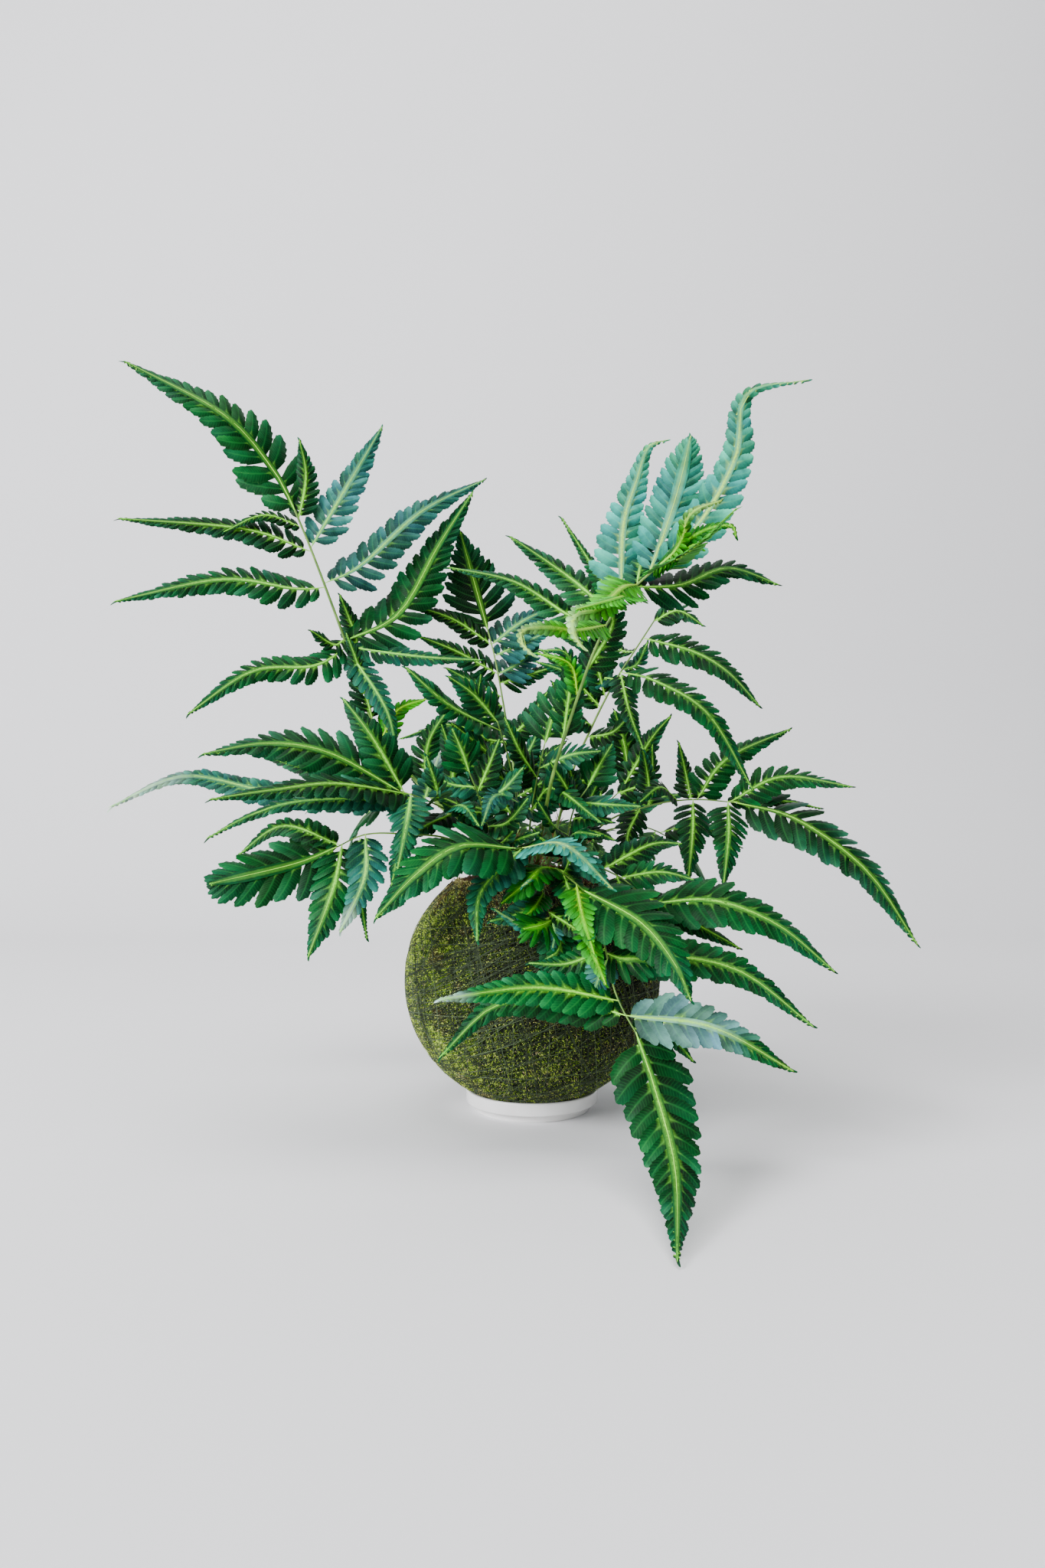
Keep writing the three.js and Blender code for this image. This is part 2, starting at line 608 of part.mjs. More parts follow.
const glaze = new THREE.MeshStandardMaterial({ color: "#e4e2e0", roughness: 0.25, metalness: 0 });
const moss = new THREE.MeshStandardMaterial({ color: "#6b7430", roughness: 0.95, metalness: 0 });
const soil = new THREE.MeshStandardMaterial({ color: "#4a3524", roughness: 1, metalness: 0 });
const thread = new THREE.MeshStandardMaterial({ color: "#262a1c", roughness: 0.8, metalness: 0 });
const leaf = new THREE.MeshStandardMaterial({ color: "#1f6a3c", roughness: 0.5, metalness: 0 });

const group = new THREE.Group();
addMesh("dish", dishGeometry(), glaze);
addMesh("moss_layer", mossGeometry(), moss);
addMesh("soil_ball", toGeometry(soilSolid()), soil);
addMesh("binding_thread", toGeometry(threadSolid()), thread);
for (const frond of fronds) {
  addMesh(frond.name, toGeometry(frondSolid(frond)), leaf);
}

export default group;
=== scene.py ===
import math
from functools import partial

import bpy
import numpy as np
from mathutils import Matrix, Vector


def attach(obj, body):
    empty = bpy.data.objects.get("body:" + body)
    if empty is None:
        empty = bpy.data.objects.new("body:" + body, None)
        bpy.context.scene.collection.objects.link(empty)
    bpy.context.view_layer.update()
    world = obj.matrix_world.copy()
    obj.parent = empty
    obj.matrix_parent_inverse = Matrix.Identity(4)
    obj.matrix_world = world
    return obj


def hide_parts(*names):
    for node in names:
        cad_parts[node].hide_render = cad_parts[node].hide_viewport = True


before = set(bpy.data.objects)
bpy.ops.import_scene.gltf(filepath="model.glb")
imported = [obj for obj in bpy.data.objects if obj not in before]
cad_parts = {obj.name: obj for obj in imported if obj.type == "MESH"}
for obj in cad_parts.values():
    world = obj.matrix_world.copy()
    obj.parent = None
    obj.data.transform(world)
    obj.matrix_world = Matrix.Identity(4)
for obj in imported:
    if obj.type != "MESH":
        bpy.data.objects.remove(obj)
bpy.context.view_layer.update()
rng = np.random.default_rng(2611)
mm = 0.001


def linearColour(hexColour):
    # sRGB hex to linear: c/12.92 below 0.04045, else ((c + 0.055) / 1.055) ^ 2.4
    c = np.array([int(hexColour[i:i + 2], 16) for i in (1, 3, 5)]) / 255
    lin = np.where(c <= 0.04045, c / 12.92, ((c + 0.055) / 1.055) ** 2.4)
    return (*lin.tolist(), 1.0)


def addNode(tree, kind, inputs=(), output=0, stops=(), **settings):
    # one node with its settings and links; it gives back one of its outputs. An input, by order or by name, is
    # a plain value or the socket that feeds it; the stops of a ramp are (place, hex colour) pairs
    node = tree.nodes.new("ShaderNode" + kind)
    for key, value in settings.items():
        setattr(node, key, value)
    for key, value in inputs.items() if isinstance(inputs, dict) else enumerate(inputs):
        if isinstance(value, bpy.types.NodeSocket):
            tree.links.new(value, node.inputs[key])
        else:
            node.inputs[key].default_value = value
    if stops:
        ramp = node.color_ramp.elements
        while len(ramp) < len(stops):
            ramp.new(1)
        for element, (place, hexColour) in zip(ramp, stops):
            element.position, element.color = place, linearColour(hexColour)
    return node.outputs[output]


def startMaterial(name, roughness, **shader):
    # a material, its addNode, the object's own coordinates, and a way to feed the shader's sockets
    material = bpy.data.materials.new(name)
    material.use_nodes = True
    tree = material.node_tree
    sockets = tree.nodes["Principled BSDF"].inputs
    sockets["Roughness"].default_value = roughness
    for key, value in shader.items():
        sockets[key.replace("_", " ")].default_value = value
    add = partial(addNode, tree)
    place = add("TexCoord", output="Object")
    return material, add, place, lambda key, value: tree.links.new(value, sockets[key])


def grainedMaterial(name, roughness, scale, detail, stops, bump=None, **shader):
    # one noise pattern runs the colour through the stops and, with a bump of (strength, metres), lifts it
    material, add, place, feed = startMaterial(name, roughness, **shader)
    grain = add("TexNoise", {"Vector": place, "Scale": scale, "Detail": detail})
    feed("Base Color", add("ValToRGB", [grain], stops=stops))
    if bump:
        feed("Normal", add("Bump", {"Height": grain, "Strength": bump[0], "Distance": bump[1]}))
    return material


def normalised(a):
    # vectors scaled to length 1: a / |a|
    return a / np.maximum(np.linalg.norm(a, axis=-1, keepdims=True), 1e-9)


def direction(height, heading):
    # unit vector at an angle above level and a heading: (cos h cos a, cos h sin a, sin h)
    return np.stack([np.cos(height) * np.cos(heading), np.cos(height) * np.sin(heading), np.sin(height)], -1)


def valueNoise(points, size, seed):
    # smooth noise in 0..1: random values on a lattice of this size in mm, blended by smoothstep between corners
    cells = 32
    table = np.random.default_rng(seed).random((cells, cells, cells))
    p = points / size
    cell = np.floor(p).astype(int)
    f = p - cell
    f = f * f * (3 - 2 * f)
    total = 0
    for corner in np.ndindex(2, 2, 2):
        c = np.array(corner)
        weight = np.where(c, f, 1 - f).prod(-1)
        index = (cell + c) % cells
        total = total + weight * table[index[..., 0], index[..., 1], index[..., 2]]
    return total


def catmullRom(points, count):
    # Catmull-Rom curve through the points, ends mirrored, resampled at equal steps of length
    p = np.array(points, float)
    p = np.vstack([2 * p[0] - p[1], p, 2 * p[-1] - p[-2]])
    t = np.linspace(0, 1, 24, endpoint=False)[:, None]
    spans = [0.5 * (2 * b + (c - a) * t + (2 * a - 5 * b + 4 * c - d) * t ** 2
                    + (3 * b - a - 3 * c + d) * t ** 3) for a, b, c, d in zip(p, p[1:], p[2:], p[3:])]
    dense = np.vstack([*spans, p[-2]])
    length = np.r_[0, np.cumsum(np.linalg.norm(np.diff(dense, axis=0), axis=1))]
    s = np.linspace(0, length[-1], count)
    return np.stack([np.interp(s, length, dense[:, i]) for i in range(3)], 1), length[-1]


def along(values, s):
    # values known at equal steps, read at the fractions s
    x = np.linspace(0, 1, len(values))
    return np.stack([np.interp(s, x, values[:, i]) for i in range(values.shape[1])], 1)


def grid(rows, columns, closed=False):
    # quads of a rows x columns grid of vertices, its last column joined to the first where closed
    i = np.arange(rows - 1)[:, None]
    j = np.arange(columns if closed else columns - 1)[None, :]
    k = (j + 1) % columns
    low, high = i * columns, (i + 1) * columns
    return np.stack([low + j, low + k, high + k, high + j], -1).reshape(-1, 4)


def poleFans(rows, sides):
    # triangles from a closed grid's first and last row to the two pole vertices that follow the grid
    i = np.arange(sides)
    k = (i + 1) % sides
    n = rows * sides
    first = np.stack([k, i, np.full(sides, n)], 1)
    return np.vstack([first, np.stack([i + n - sides, k + n - sides, np.full(sides, n + 1)], 1)])


def ringedPart(rings, first, last, **values):
    # a closed surface: each ring joined to the next, the ends drawn to a pole vertex each
    rows, sides = rings.shape[:2]
    return {"co": np.vstack([rings.reshape(-1, 3), [first, last]]), "quads": grid(rows, sides, closed=True),
            "tris": poleFans(rows, sides), "values": values}


def scatteredPart(co, tris, **values):
    # many small closed shapes with the same triangles: co is (how many, vertices of one, 3)
    first = (np.arange(len(co)) * co.shape[1])[:, None, None]
    return {"co": co.reshape(-1, 3), "tris": (np.array(tris)[None] + first).reshape(-1, 3), "values": values}


def joinParts(parts):
    # parts laid end to end; a part's material is one slot or a pair (of its quads, of its triangles)
    starts = np.cumsum([0] + [len(part["co"]) for part in parts])
    joined = {"co": np.concatenate([part["co"] for part in parts]), "faceMaterial": []}
    for which, (faces, corners) in enumerate((("quads", 4), ("tris", 3))):
        lists = [part.get(faces, np.zeros((0, corners), int)) for part in parts]
        joined[faces] = np.concatenate([faceList + start for faceList, start in zip(lists, starts)])
        for part, faceList in zip(parts, lists):
            slot = part.get("material", 0)
            slot = slot[which] if isinstance(slot, tuple) else slot
            joined["faceMaterial"].append(np.broadcast_to(slot, len(faceList)))
    joined["faceMaterial"] = np.concatenate(joined["faceMaterial"])
    shapes = {name: np.shape(value)[1:] for part in parts for name, value in part["values"].items()}
    joined["values"] = {name: np.concatenate([part["values"].get(name, np.zeros((len(part["co"]), *shape)))
                                              for part in parts]) for name, shape in shapes.items()}
    return joined


def makeObject(name, parts, materials, sharpAngle=180):
    # a mesh object at the origin from parts in mm; values with three columns become colours, others numbers
    whole = joinParts(parts)
    mesh = bpy.data.meshes.new(name)
    corners = np.concatenate([whole["quads"].ravel(), whole["tris"].ravel()]).astype(np.int32)
    sizes = np.repeat([4, 3], [len(whole["quads"]), len(whole["tris"])]).astype(np.int32)
    mesh.vertices.add(len(whole["co"]))
    mesh.vertices.foreach_set("co", (whole["co"] * mm).astype(np.float32).ravel())
    mesh.loops.add(len(corners))
    mesh.loops.foreach_set("vertex_index", corners)
    mesh.polygons.add(len(sizes))
    mesh.polygons.foreach_set("loop_start", np.r_[0, np.cumsum(sizes)[:-1]].astype(np.int32))
    mesh.polygons.foreach_set("material_index", whole["faceMaterial"].astype(np.int32))
    mesh.update(calc_edges=True)
    for label, value in whole["values"].items():
        if value.ndim == 2:
            layer = mesh.attributes.new(label, "FLOAT_COLOR", "POINT")
            layer.data.foreach_set("color", np.c_[value, np.ones(len(value))].astype(np.float32).ravel())
        else:
            layer = mesh.attributes.new(label, "FLOAT", "POINT")
            layer.data.foreach_set("value", value.astype(np.float32))
    mesh.polygons.foreach_set("use_smooth", np.ones(len(sizes), bool))
    mesh.set_sharp_from_angle(angle=math.radians(sharpAngle))
    for material in materials:
        mesh.materials.append(material)
    mesh.update()
    piece = bpy.data.objects.new(name, mesh)
    bpy.context.scene.collection.objects.link(piece)
    print(name, "faces", len(sizes))
    return piece


def tubes(paths, radii, sides, reference, material=0):
    # round tubes along many paths at once, their ends drawn to a point: each ring is
    # centre + r (cos a * side + sin a * other)
    many, steps, _ = paths.shape
    tangent = normalised(np.gradient(paths, axis=1))
    ref = np.broadcast_to(reference, paths.shape)
    side = normalised(ref - tangent * (ref * tangent).sum(-1, keepdims=True))
    other = np.cross(tangent, side)
    a = np.linspace(0, 2 * np.pi, sides, endpoint=False)
    radii = np.broadcast_to(radii, (many, steps))[..., None, None]
    ring = np.cos(a)[:, None] * side[:, :, None] + np.sin(a)[:, None] * other[:, :, None]
    rings = (paths[:, :, None] + radii * ring).reshape(many, -1, 3)
    perPath = steps * sides + 2
    starts = (np.arange(many) * perPath)[:, None, None]
    return {"co": np.concatenate([rings, paths[:, :1], paths[:, -1:]], 1).reshape(-1, 3),
            "quads": (grid(steps, sides, closed=True)[None] + starts).reshape(-1, 4),
            "tris": (poleFans(steps, sides)[None] + starts).reshape(-1, 3), "material": material,
            "values": {}, "perPath": perPath}


# the fronds follow the source's own curves in mm; a row of leaflets is: its place along the rachis, width,
# fullness, cast, points along its rib, and where it differs from its frond, its own face or pitch
facingFront = dict(face=(0, -1, 0.15))
fronds = {}
fronds["frond_upper_left"] = dict(openness=0.24, root=(-16, 4), face=(0.1, -0.85, 0.5), rachis=[
    (-72, 14, 212), (-111, 20, 261), (-131, 22, 318), (-154, 24, 379), (-169, 26, 415),
], leaflets=[
    (1, 64, 1.05, "mid", (-184, 24, 443), (-217, 12, 479), (-285, 4, 514)),
    (0.975, 25, 1.5, "deep", (-162, 30, 441), (-166, 26, 466)),
    (0.9, 36, 1.6, "blue", (-138, 34, 426), (-109, 44, 482)),
    (0.89, 30, 1.5, "deep", (-200, 10, 397), (-281, -14, 398)),
    (0.955, 15, 1.5, "deep", (-188, 14, 408), (-213, 2, 393)),
    (0.8, 36, 1.5, "mid", (-166, 14, 356), (-214, 2, 360), (-277, -30, 338)),
    (0.81, 41, 1.5, "blue", (-123, 34, 377), (-81, 48, 420), (-34, 66, 450)),
    (0.665, 53, 1.3, "mid", (-96, 38, 343), (-68, 52, 397), (-43, 60, 439)),
    (0.65, 32, 1.5, "mid", (-151, 8, 301), (-190, -8, 295), (-226, -34, 263)),
    (0.67, 22, 1.4, "deep", (-139, 16, 317), (-153, 4, 325)),
    (0.675, 25, 1.4, "deep", (-125, 30, 322), (-138, 34, 356)),
    (0.65, 23, 1.5, "cool", (-79, 26, 310), (-35, 22, 307)),
    (0.64, 25, 1.5, "cool", (-102, 6, 273), (-92, -6, 243)),
    (0.18, 32, 1.3, "deep", (-56, 22, 234), (-65, 28, 265)),
    (0.26, 30, 1.3, "mid", (-73, 24, 249), (-56, 30, 278)),
    (0.3, 28, 1.3, "deep", (-94, 4, 233), (-110, -6, 228)),
    (0.42, 22, 1.3, "bright", (-95, 26, 272), (-74, 32, 281)),
    (0.46, 28, 1.4, "deep", (-121, 18, 299), (-131, 20, 326)),
])
fronds["frond_left"] = dict(root=(-26, -12), face=(-0.1, -0.75, 0.65), rachis=[
    (-47, -40, 194), (-65, -60, 206), (-84, -72, 213),
], leaflets=[
    (1, 53, 1.2, "mid", (-123, -86, 235), (-157, -100, 240), (-190, -124, 232)),
    (0.95, 34, 1.4, "mid", (-98, -76, 244), (-118, -70, 270)),
    (0.93, 32, 1.5, "steel", (-160, -66, 212), (-219, -60, 222), (-263, -70, 202)),
    (0.9, 34, 1.4, "deep", (-115, -106, 216), (-146, -126, 212), (-179, -146, 206)),
    (0.84, 23, 1.5, "cool", (-133, -104, 206), (-162, -114, 198), (-186, -126, 184)),
    (0.9, 32, 1.5, "cool", (-74, -108, 193), (-77, -128, 166)),
    (0.8, 28, 1.3, "steel", (-65, -48, 221), (-60, -46, 236)),
    (0.62, 25, 1.4, "cool", (-42, -92, 203), (-32, -100, 191)),
    (0.97, 30, 1.3, "deep", (-144, -52, 228), (-181, -40, 239)),
    (0.75, 26, 1.3, "deep", (-58, -84, 211), (-64, -92, 233)),
    (0.4, 26, 1.3, "deep", (-46, -22, 202), (-64, -20, 211)),
    (0.55, 26, 1.3, "deep", (-65, -60, 192), (-79, -66, 183)),
])
fronds["frond_lower_left"] = dict(openness=0.14, root=(-31, -27), face=(0, -0.8, 0.6), rachis=[
    (-51, -64, 182), (-77, -84, 186), (-100, -92, 186), (-118, -96, 178),
], leaflets=[
    (1, 48, 3, "mid", (-140, -102, 169), (-186, -118, 158), dict(pitch=1.5)),
    (0.97, 23, 1.4, "mid", (-152, -82, 191), (-179, -84, 173)),
    (0.96, 34, 1.5, "mid", (-116, -112, 155), (-128, -124, 117)),
    (0.84, 29, 1.5, "steel", (-98, -112, 161), (-110, -124, 131)),
    (0.87, 14, 1.3, "mid", (-104, -86, 151), (-99, -94, 124)),
    (0.62, 18, 1.3, "cool", (-80, -98, 173), (-83, -106, 156)),
])
fronds["frond_back_left"] = dict(openness=0.24, root=(-8, 19), face=(0, -0.85, 0.5), rachis=[
    (-12, 40, 224), (-20, 58, 276), (-27, 68, 314), (-33, 72, 338),
], leaflets=[
    (1, 68, 1, "deep", (-42, 74, 370), (-54, 72, 413)),
    (0.93, 23, 1.4, "deep", (-59, 64, 344), (-94, 56, 354)),
    (0.93, 38, 1.3, "blue", (-7, 82, 345), (17, 90, 358)),
    (0.8, 28, 1.4, "deep", (-55, 54, 318), (-83, 44, 328)),
    (0.8, 38, 1.3, "blue", (-8, 80, 314), (6, 86, 330)),
    (0.7, 28, 1.4, "mid", (-41, 54, 294), (-63, 54, 306)),
    (0.66, 26, 1.3, "deep", (-37, 50, 283), (-37, 46, 300)),
    (0.5, 28, 1.3, "deep", (-35, 36, 254), (-53, 28, 275)),
    (0.52, 28, 1.3, "deep", (-3, 58, 267), (13, 60, 290)),
    (0.3, 32, 1.3, "deep", (-30, 40, 235), (-57, 46, 240)),
    (0.36, 28, 1.3, "deep", (4, 50, 236), (25, 54, 251)),
    (0.15, 30, 1.3, "deep", (-30, 30, 200), (-53, 32, 206)),
    (0.2, 28, 1.3, "deep", (10, 40, 206), (30, 46, 213)),
    (0.76, 26, 1.3, "deep", (-2, 78, 304), (22, 84, 312)),
    (0.88, 28, 1.3, "blue", (-10, 76, 326), (17, 82, 339)),
])
fronds["frond_centre_left"] = dict(openness=0.24, root=(-13, -10), face=(-0.2, -0.8, 0.55), rachis=[
    (-10, -16, 202), (-15, -26, 232), (-23, -34, 259),
], leaflets=[
    (1, 34, 1.2, "mid", (-38, -44, 275), (-54, -52, 286)),
    (0.93, 34, 1.4, "mid", (-52, -66, 266), (-79, -74, 289)),
    (0.62, 34, 1.4, "deep", (-27, -52, 236), (-51, -66, 255)),
    (0.5, 28, 1.4, "mid", (-24, -36, 224), (-50, -46, 232)),
    (0.72, 23, 1.3, "cool", (-3, -16, 240), (5, -14, 256)),
    (0.3, 30, 1.3, "deep", (-36, -8, 226), (-61, -2, 239)),
    (0.5, 24, 1.3, "deep", (-2, -8, 237), (7, -6, 260)),
])
fronds["frond_centre"] = dict(openness=0.24, root=(-4, -22), face=(0, -0.85, 0.5), rachis=[
    (-1, -24, 196), (3, -32, 221), (8, -36, 244),
], leaflets=[
    (1, 50, 1, "mid", (16, -34, 269), (32, -30, 296)),
    (0.8, 30, 1.3, "cool", (24, -46, 236), (43, -56, 238)),
    (0.45, 28, 1.4, "blue", (-22, -74, 210), (-31, -96, 191)),
    (0.45, 25, 1.4, "mid", (13, -42, 215), (41, -86, 193)),
    (0.72, 28, 1.2, "deep", (-8, -50, 238), (-18, -54, 260)),
])
fronds["frond_upper_right"] = dict(openness=0.24, root=(3, -8), face=(0, -0.8, 0.6), rachis=[
    (11, -62, 216), (23, -82, 257), (37, -96, 297), (52, -102, 324), (73, -106, 344),
], leaflets=[
    (0.97, 37, 3.6, "haze", (80, -96, 371), (90, -85, 402), (97, -80, 431)),
    (0.87, 44, 1, "haze", (55, -84, 374), (64, -74, 404), (72, -69, 427), (85, -67, 433)),
    (1, 40, 1, "haze", (97, -116, 368), (117, -118, 405), (125, -112, 444), (160, -118, 450)),
    (0.93, 28, 1.3, "cool", (68, -78, 371), (55, -70, 394)),
    (0.86, 17, 1.4, "mid", (35, -66, 357), (18, -60, 386)),
    (0.83, 34, 1.4, "mid", (23, -78, 343), (-15, -72, 371)),
    (0.78, 28, 1.4, "mid", (20, -84, 320), (-12, -78, 341), (-53, -78, 350)),
    (0.92, 41, 1.3, "mid", (89, -92, 336), (118, -88, 347), (148, -92, 336)),
    (0.9, 30, 1.3, "bright", (44, -172, 312), (19, -222, 296)),
    (0.98, 30, 1.2, "bright", (82, -170, 338), (98, -216, 347)),
    (0.8, 23, 1.4, "bright", (15, -150, 299), (-4, -184, 295)),
    (0.6, 16, 1.3, "bright", (22, -92, 288), (2, -98, 294)),
    (0.47, 24, 1.3, "mid", (22, -90, 291), (3, -92, 297)),
    (0.66, 30, 1.3, "deep", (48, -92, 315), (34, -88, 330)),
    (0.93, 30, 1.5, "young", (48, -150, 322), (33, -185, 304), (20, -205, 297), (18, -212, 287),
     (23, -215, 278), facingFront),
    (0.8, 22, 1.5, "young", (22, -165, 296), (7, -185, 294), (-6, -200, 290), (-7, -204, 283),
     (-1, -206, 276), facingFront),
    (0.98, 18, 1.7, "fresh", (78, -140, 344), (86, -160, 348), (95, -170, 350), (104, -172, 350),
     (106, -172, 344), facingFront),
    (0.98, 16, 1.5, "young", (77, -140, 343), (80, -160, 348), (81, -165, 355), (87, -165, 361),
     (101, -160, 367), facingFront),
    (1, 20, 1.8, "bright", (80, -140, 343), (86, -160, 343), (90, -162, 340), facingFront),
])
fronds["frond_right_high"] = dict(openness=0.2, root=(11, 10), face=(0.1, -0.85, 0.5), rachis=[
    (27, 22, 223), (43, 22, 261), (59, 20, 292), (75, 16, 317), (86, 12, 334),
], leaflets=[
    (1, 23, 1.3, "deep", (101, 6, 339), (117, -4, 327)),
    (0.92, 32, 1.5, "mid", (111, 2, 310), (132, -12, 294), (150, -28, 269)),
    (0.77, 32, 1.5, "mid", (84, 2, 290), (117, -20, 265), (142, -44, 213)),
    (0.77, 23, 1.4, "deep", (66, -4, 269), (74, -20, 241)),
    (0.78, 21, 1.3, "cool", (75, 28, 305), (83, 30, 321)),
    (0.74, 23, 1.4, "cool", (31, 26, 298), (3, 22, 306)),
    (0.86, 16, 1.3, "deep", (63, 30, 316), (56, 34, 331)),
    (0.55, 24, 1.3, "deep", (24, 8, 268), (14, 2, 289)),
    (0.5, 26, 1.3, "deep", (56, 10, 255), (69, 6, 268)),
    (0.33, 28, 1.3, "deep", (37, 26, 222), (59, 30, 233)),
    (0.3, 26, 1.3, "deep", (15, 28, 228), (2, 30, 244)),
    (0.62, 26, 1.3, "deep", (26, 26, 299), (7, 30, 316)),
    (0.66, 30, 1.3, "deep", (41, 20, 314), (18, 22, 325)),
])
fronds["frond_right_back"] = dict(openness=0.2, root=(19, 25), face=(0.1, -0.85, 0.5), rachis=[
    (47, 70, 196), (69, 88, 217), (76, 92, 229),
], leaflets=[
    (1, 48, 1.2, "deep", (72, 96, 253), (65, 98, 279)),
    (0.9, 30, 1.3, "deep", (92, 92, 255), (108, 92, 274)),
    (0.82, 25, 1.3, "deep", (90, 84, 225), (92, 78, 251)),
    (0.7, 28, 1.3, "deep", (48, 90, 223), (35, 92, 246)),
])
fronds["frond_right"] = dict(openness=0.24, root=(24, 1), face=(0.1, -0.75, 0.65), rachis=[
    (50, 2, 192), (81, 2, 204), (109, -4, 208), (137, -12, 206),
], leaflets=[
    (1, 51, 1.2, "deep", (173, -28, 195), (211, -52, 163), (232, -84, 119)),
    (0.97, 32, 1.4, "mid", (167, -14, 223), (209, -34, 216)),
    (0.96, 31, 1.4, "mid", (127, -38, 184), (120, -56, 152)),
    (0.95, 16, 1.4, "deep", (173, 0, 207), (196, -6, 202)),
    (0.78, 29, 1.4, "deep", (105, -30, 185), (99, -48, 155)),
    (0.8, 32, 1.4, "mid", (137, 18, 237), (185, 30, 259)),
    (0.77, 23, 1.4, "deep", (108, 20, 228), (104, 24, 249)),
    (0.7, 23, 1.4, "deep", (85, -22, 216), (70, -36, 206)),
    (0.55, 24, 1.3, "deep", (82, 22, 223), (78, 26, 248)),
    (0.5, 24, 1.3, "deep", (63, -20, 181), (71, -34, 162)),
    (0.3, 26, 1.3, "deep", (39, 14, 201), (47, 18, 222)),
])
fronds["frond_lower_right"] = dict(root=(26, -15), face=(0.1, -0.75, 0.65), rachis=[
    (34, -58, 167), (54, -80, 159), (70, -92, 144),
], leaflets=[
    (1, 44, 1.3, "mid", (104, -108, 148), (139, -118, 135), (168, -132, 110)),
    (0.6, 28, 1.4, "deep", (73, -64, 179), (92, -70, 180)),
    (0.74, 25, 1.4, "mid", (77, -82, 163), (96, -90, 159)),
    (0.9, 28, 1.3, "deep", (96, -84, 133), (125, -84, 117)),
    (0.7, 20, 1.3, "deep", (55, -103, 147), (62, -109, 132)),
])
fronds["frond_front_right"] = dict(root=(16, -29), face=(-0.1, -0.75, 0.65), rachis=[
    (15, -68, 164), (24, -100, 158), (29, -116, 154),
], leaflets=[
    (1, 57, 1.1, "mid", (58, -142, 139), (74, -162, 119), (81, -174, 101)),
    (0.85, 25, 1.3, "bright", (27, -134, 141), (33, -142, 121)),
    (0.6, 28, 1.4, "cool", (26, -96, 174), (44, -116, 155)),
    (0.43, 32, 1.8, "fresh", (5, -92, 166), (-3, -104, 159), (-19, -108, 146)),
    (0.6, 22, 1.6, "mid", (22, -112, 148), (20, -116, 137)),
    (0.22, 28, 1.6, "deep", (21, -84, 161), (30, -98, 152)),
])
fronds["frond_front_trailing"] = dict(root=(7, -38), face=(0, -0.85, 0.5), rachis=[
    (21, -82, 155), (38, -116, 130), (44, -130, 103), (49, -138, 90), (56, -146, 78),
], leaflets=[
    (1, 54, 1, "mid", (63, -166, 54), (68, -204, 25.4), (61, -260, 2.8)),
    (0.86, 29, 1.5, "paleTip", (1, -136, 102), (-53, -146, 97)),
    (0.92, 30, 1.5, "mid", (21, -124, 92), (-21, -116, 89), (-54, -122, 60)),
    (0.92, 37, 1.3, "fading", (96, -150, 83), (136, -166, 63)),
    (0.975, 21, 1.3, "mid", (74, -130, 76), (89, -130, 60)),
    (0.68, 34, 1.4, "mid", (79, -124, 118), (116, -134, 110), (151, -150, 83)),
    (0.55, 23, 1.3, "bright", (31, -132, 127), (39, -146, 105)),
    (0.66, 23, 1.3, "mid", (19, -120, 113), (-3, -118, 113)),
    (0.68, 30, 2.2, "mid", (49, -128, 117), (60, -132, 117), (72, -134, 113)),
    (0.7, 22, 1.5, "blue", (37, -130, 108), (33, -132, 99)),
    (0.5, 24, 1.2, "mid", (28, -112, 148), (18, -112, 139)),
])
fronds["frond_front_left"] = dict(root=(-16, -36), face=(0, -0.7, 0.7), rachis=[
    (-4, -72, 176), (-11, -102, 178),
], leaflets=[
    (1, 57, 1.2, "mid", (-42, -124, 180), (-65, -138, 165), (-87, -150, 141)),
    (0.8, 30, 1.4, "cool", (-30, -120, 154), (-32, -132, 127)),
    (0.8, 30, 1.4, "haze", (17, -136, 181), (43, -148, 157)),
])
fronds["frond_front_low"] = dict(root=(-5, -46), face=(0, -0.9, 0.4), rachis=[
    (5, -66, 156), (7, -88, 146), (11, -98, 135),
], leaflets=[
    (1, 34, 1.1, "mid", (12, -106, 121), (5, -108, 109)),
    (0.55, 25, 1.3, "mid", (-6, -96, 157), (-19, -106, 146)),
    (0.75, 23, 1.3, "cool", (-8, -92, 139), (-26, -90, 134)),
    (0.9, 28, 1.3, "mid", (23, -100, 133), (33, -104, 121)),
    (0.35, 12, 1.3, "haze", (-1, -104, 160), (-7, -108, 156)),
    (0.95, 14, 1.3, "haze", (-3, -106, 132), (-15, -108, 138), (-23, -108, 143)),
    (1, 34, 2.5, "fresh", (5, -110, 134), (-6, -114, 132)),
    (1, 16, 2, "blue", (12, -110, 129), (11, -112, 121)),
    (0.95, 24, 1.2, "mid", (15, -108, 121), (3, -106, 111)),
    (0.9, 22, 1.2, "deep", (26, -114, 130), (31, -114, 117)),
    (0.6, 20, 1.6, "fresh", (0, -104, 143), (-8, -106, 137)),
    (0.2, 26, 1.5, "mid", (-1, -84, 164), (-9, -94, 158)),
])
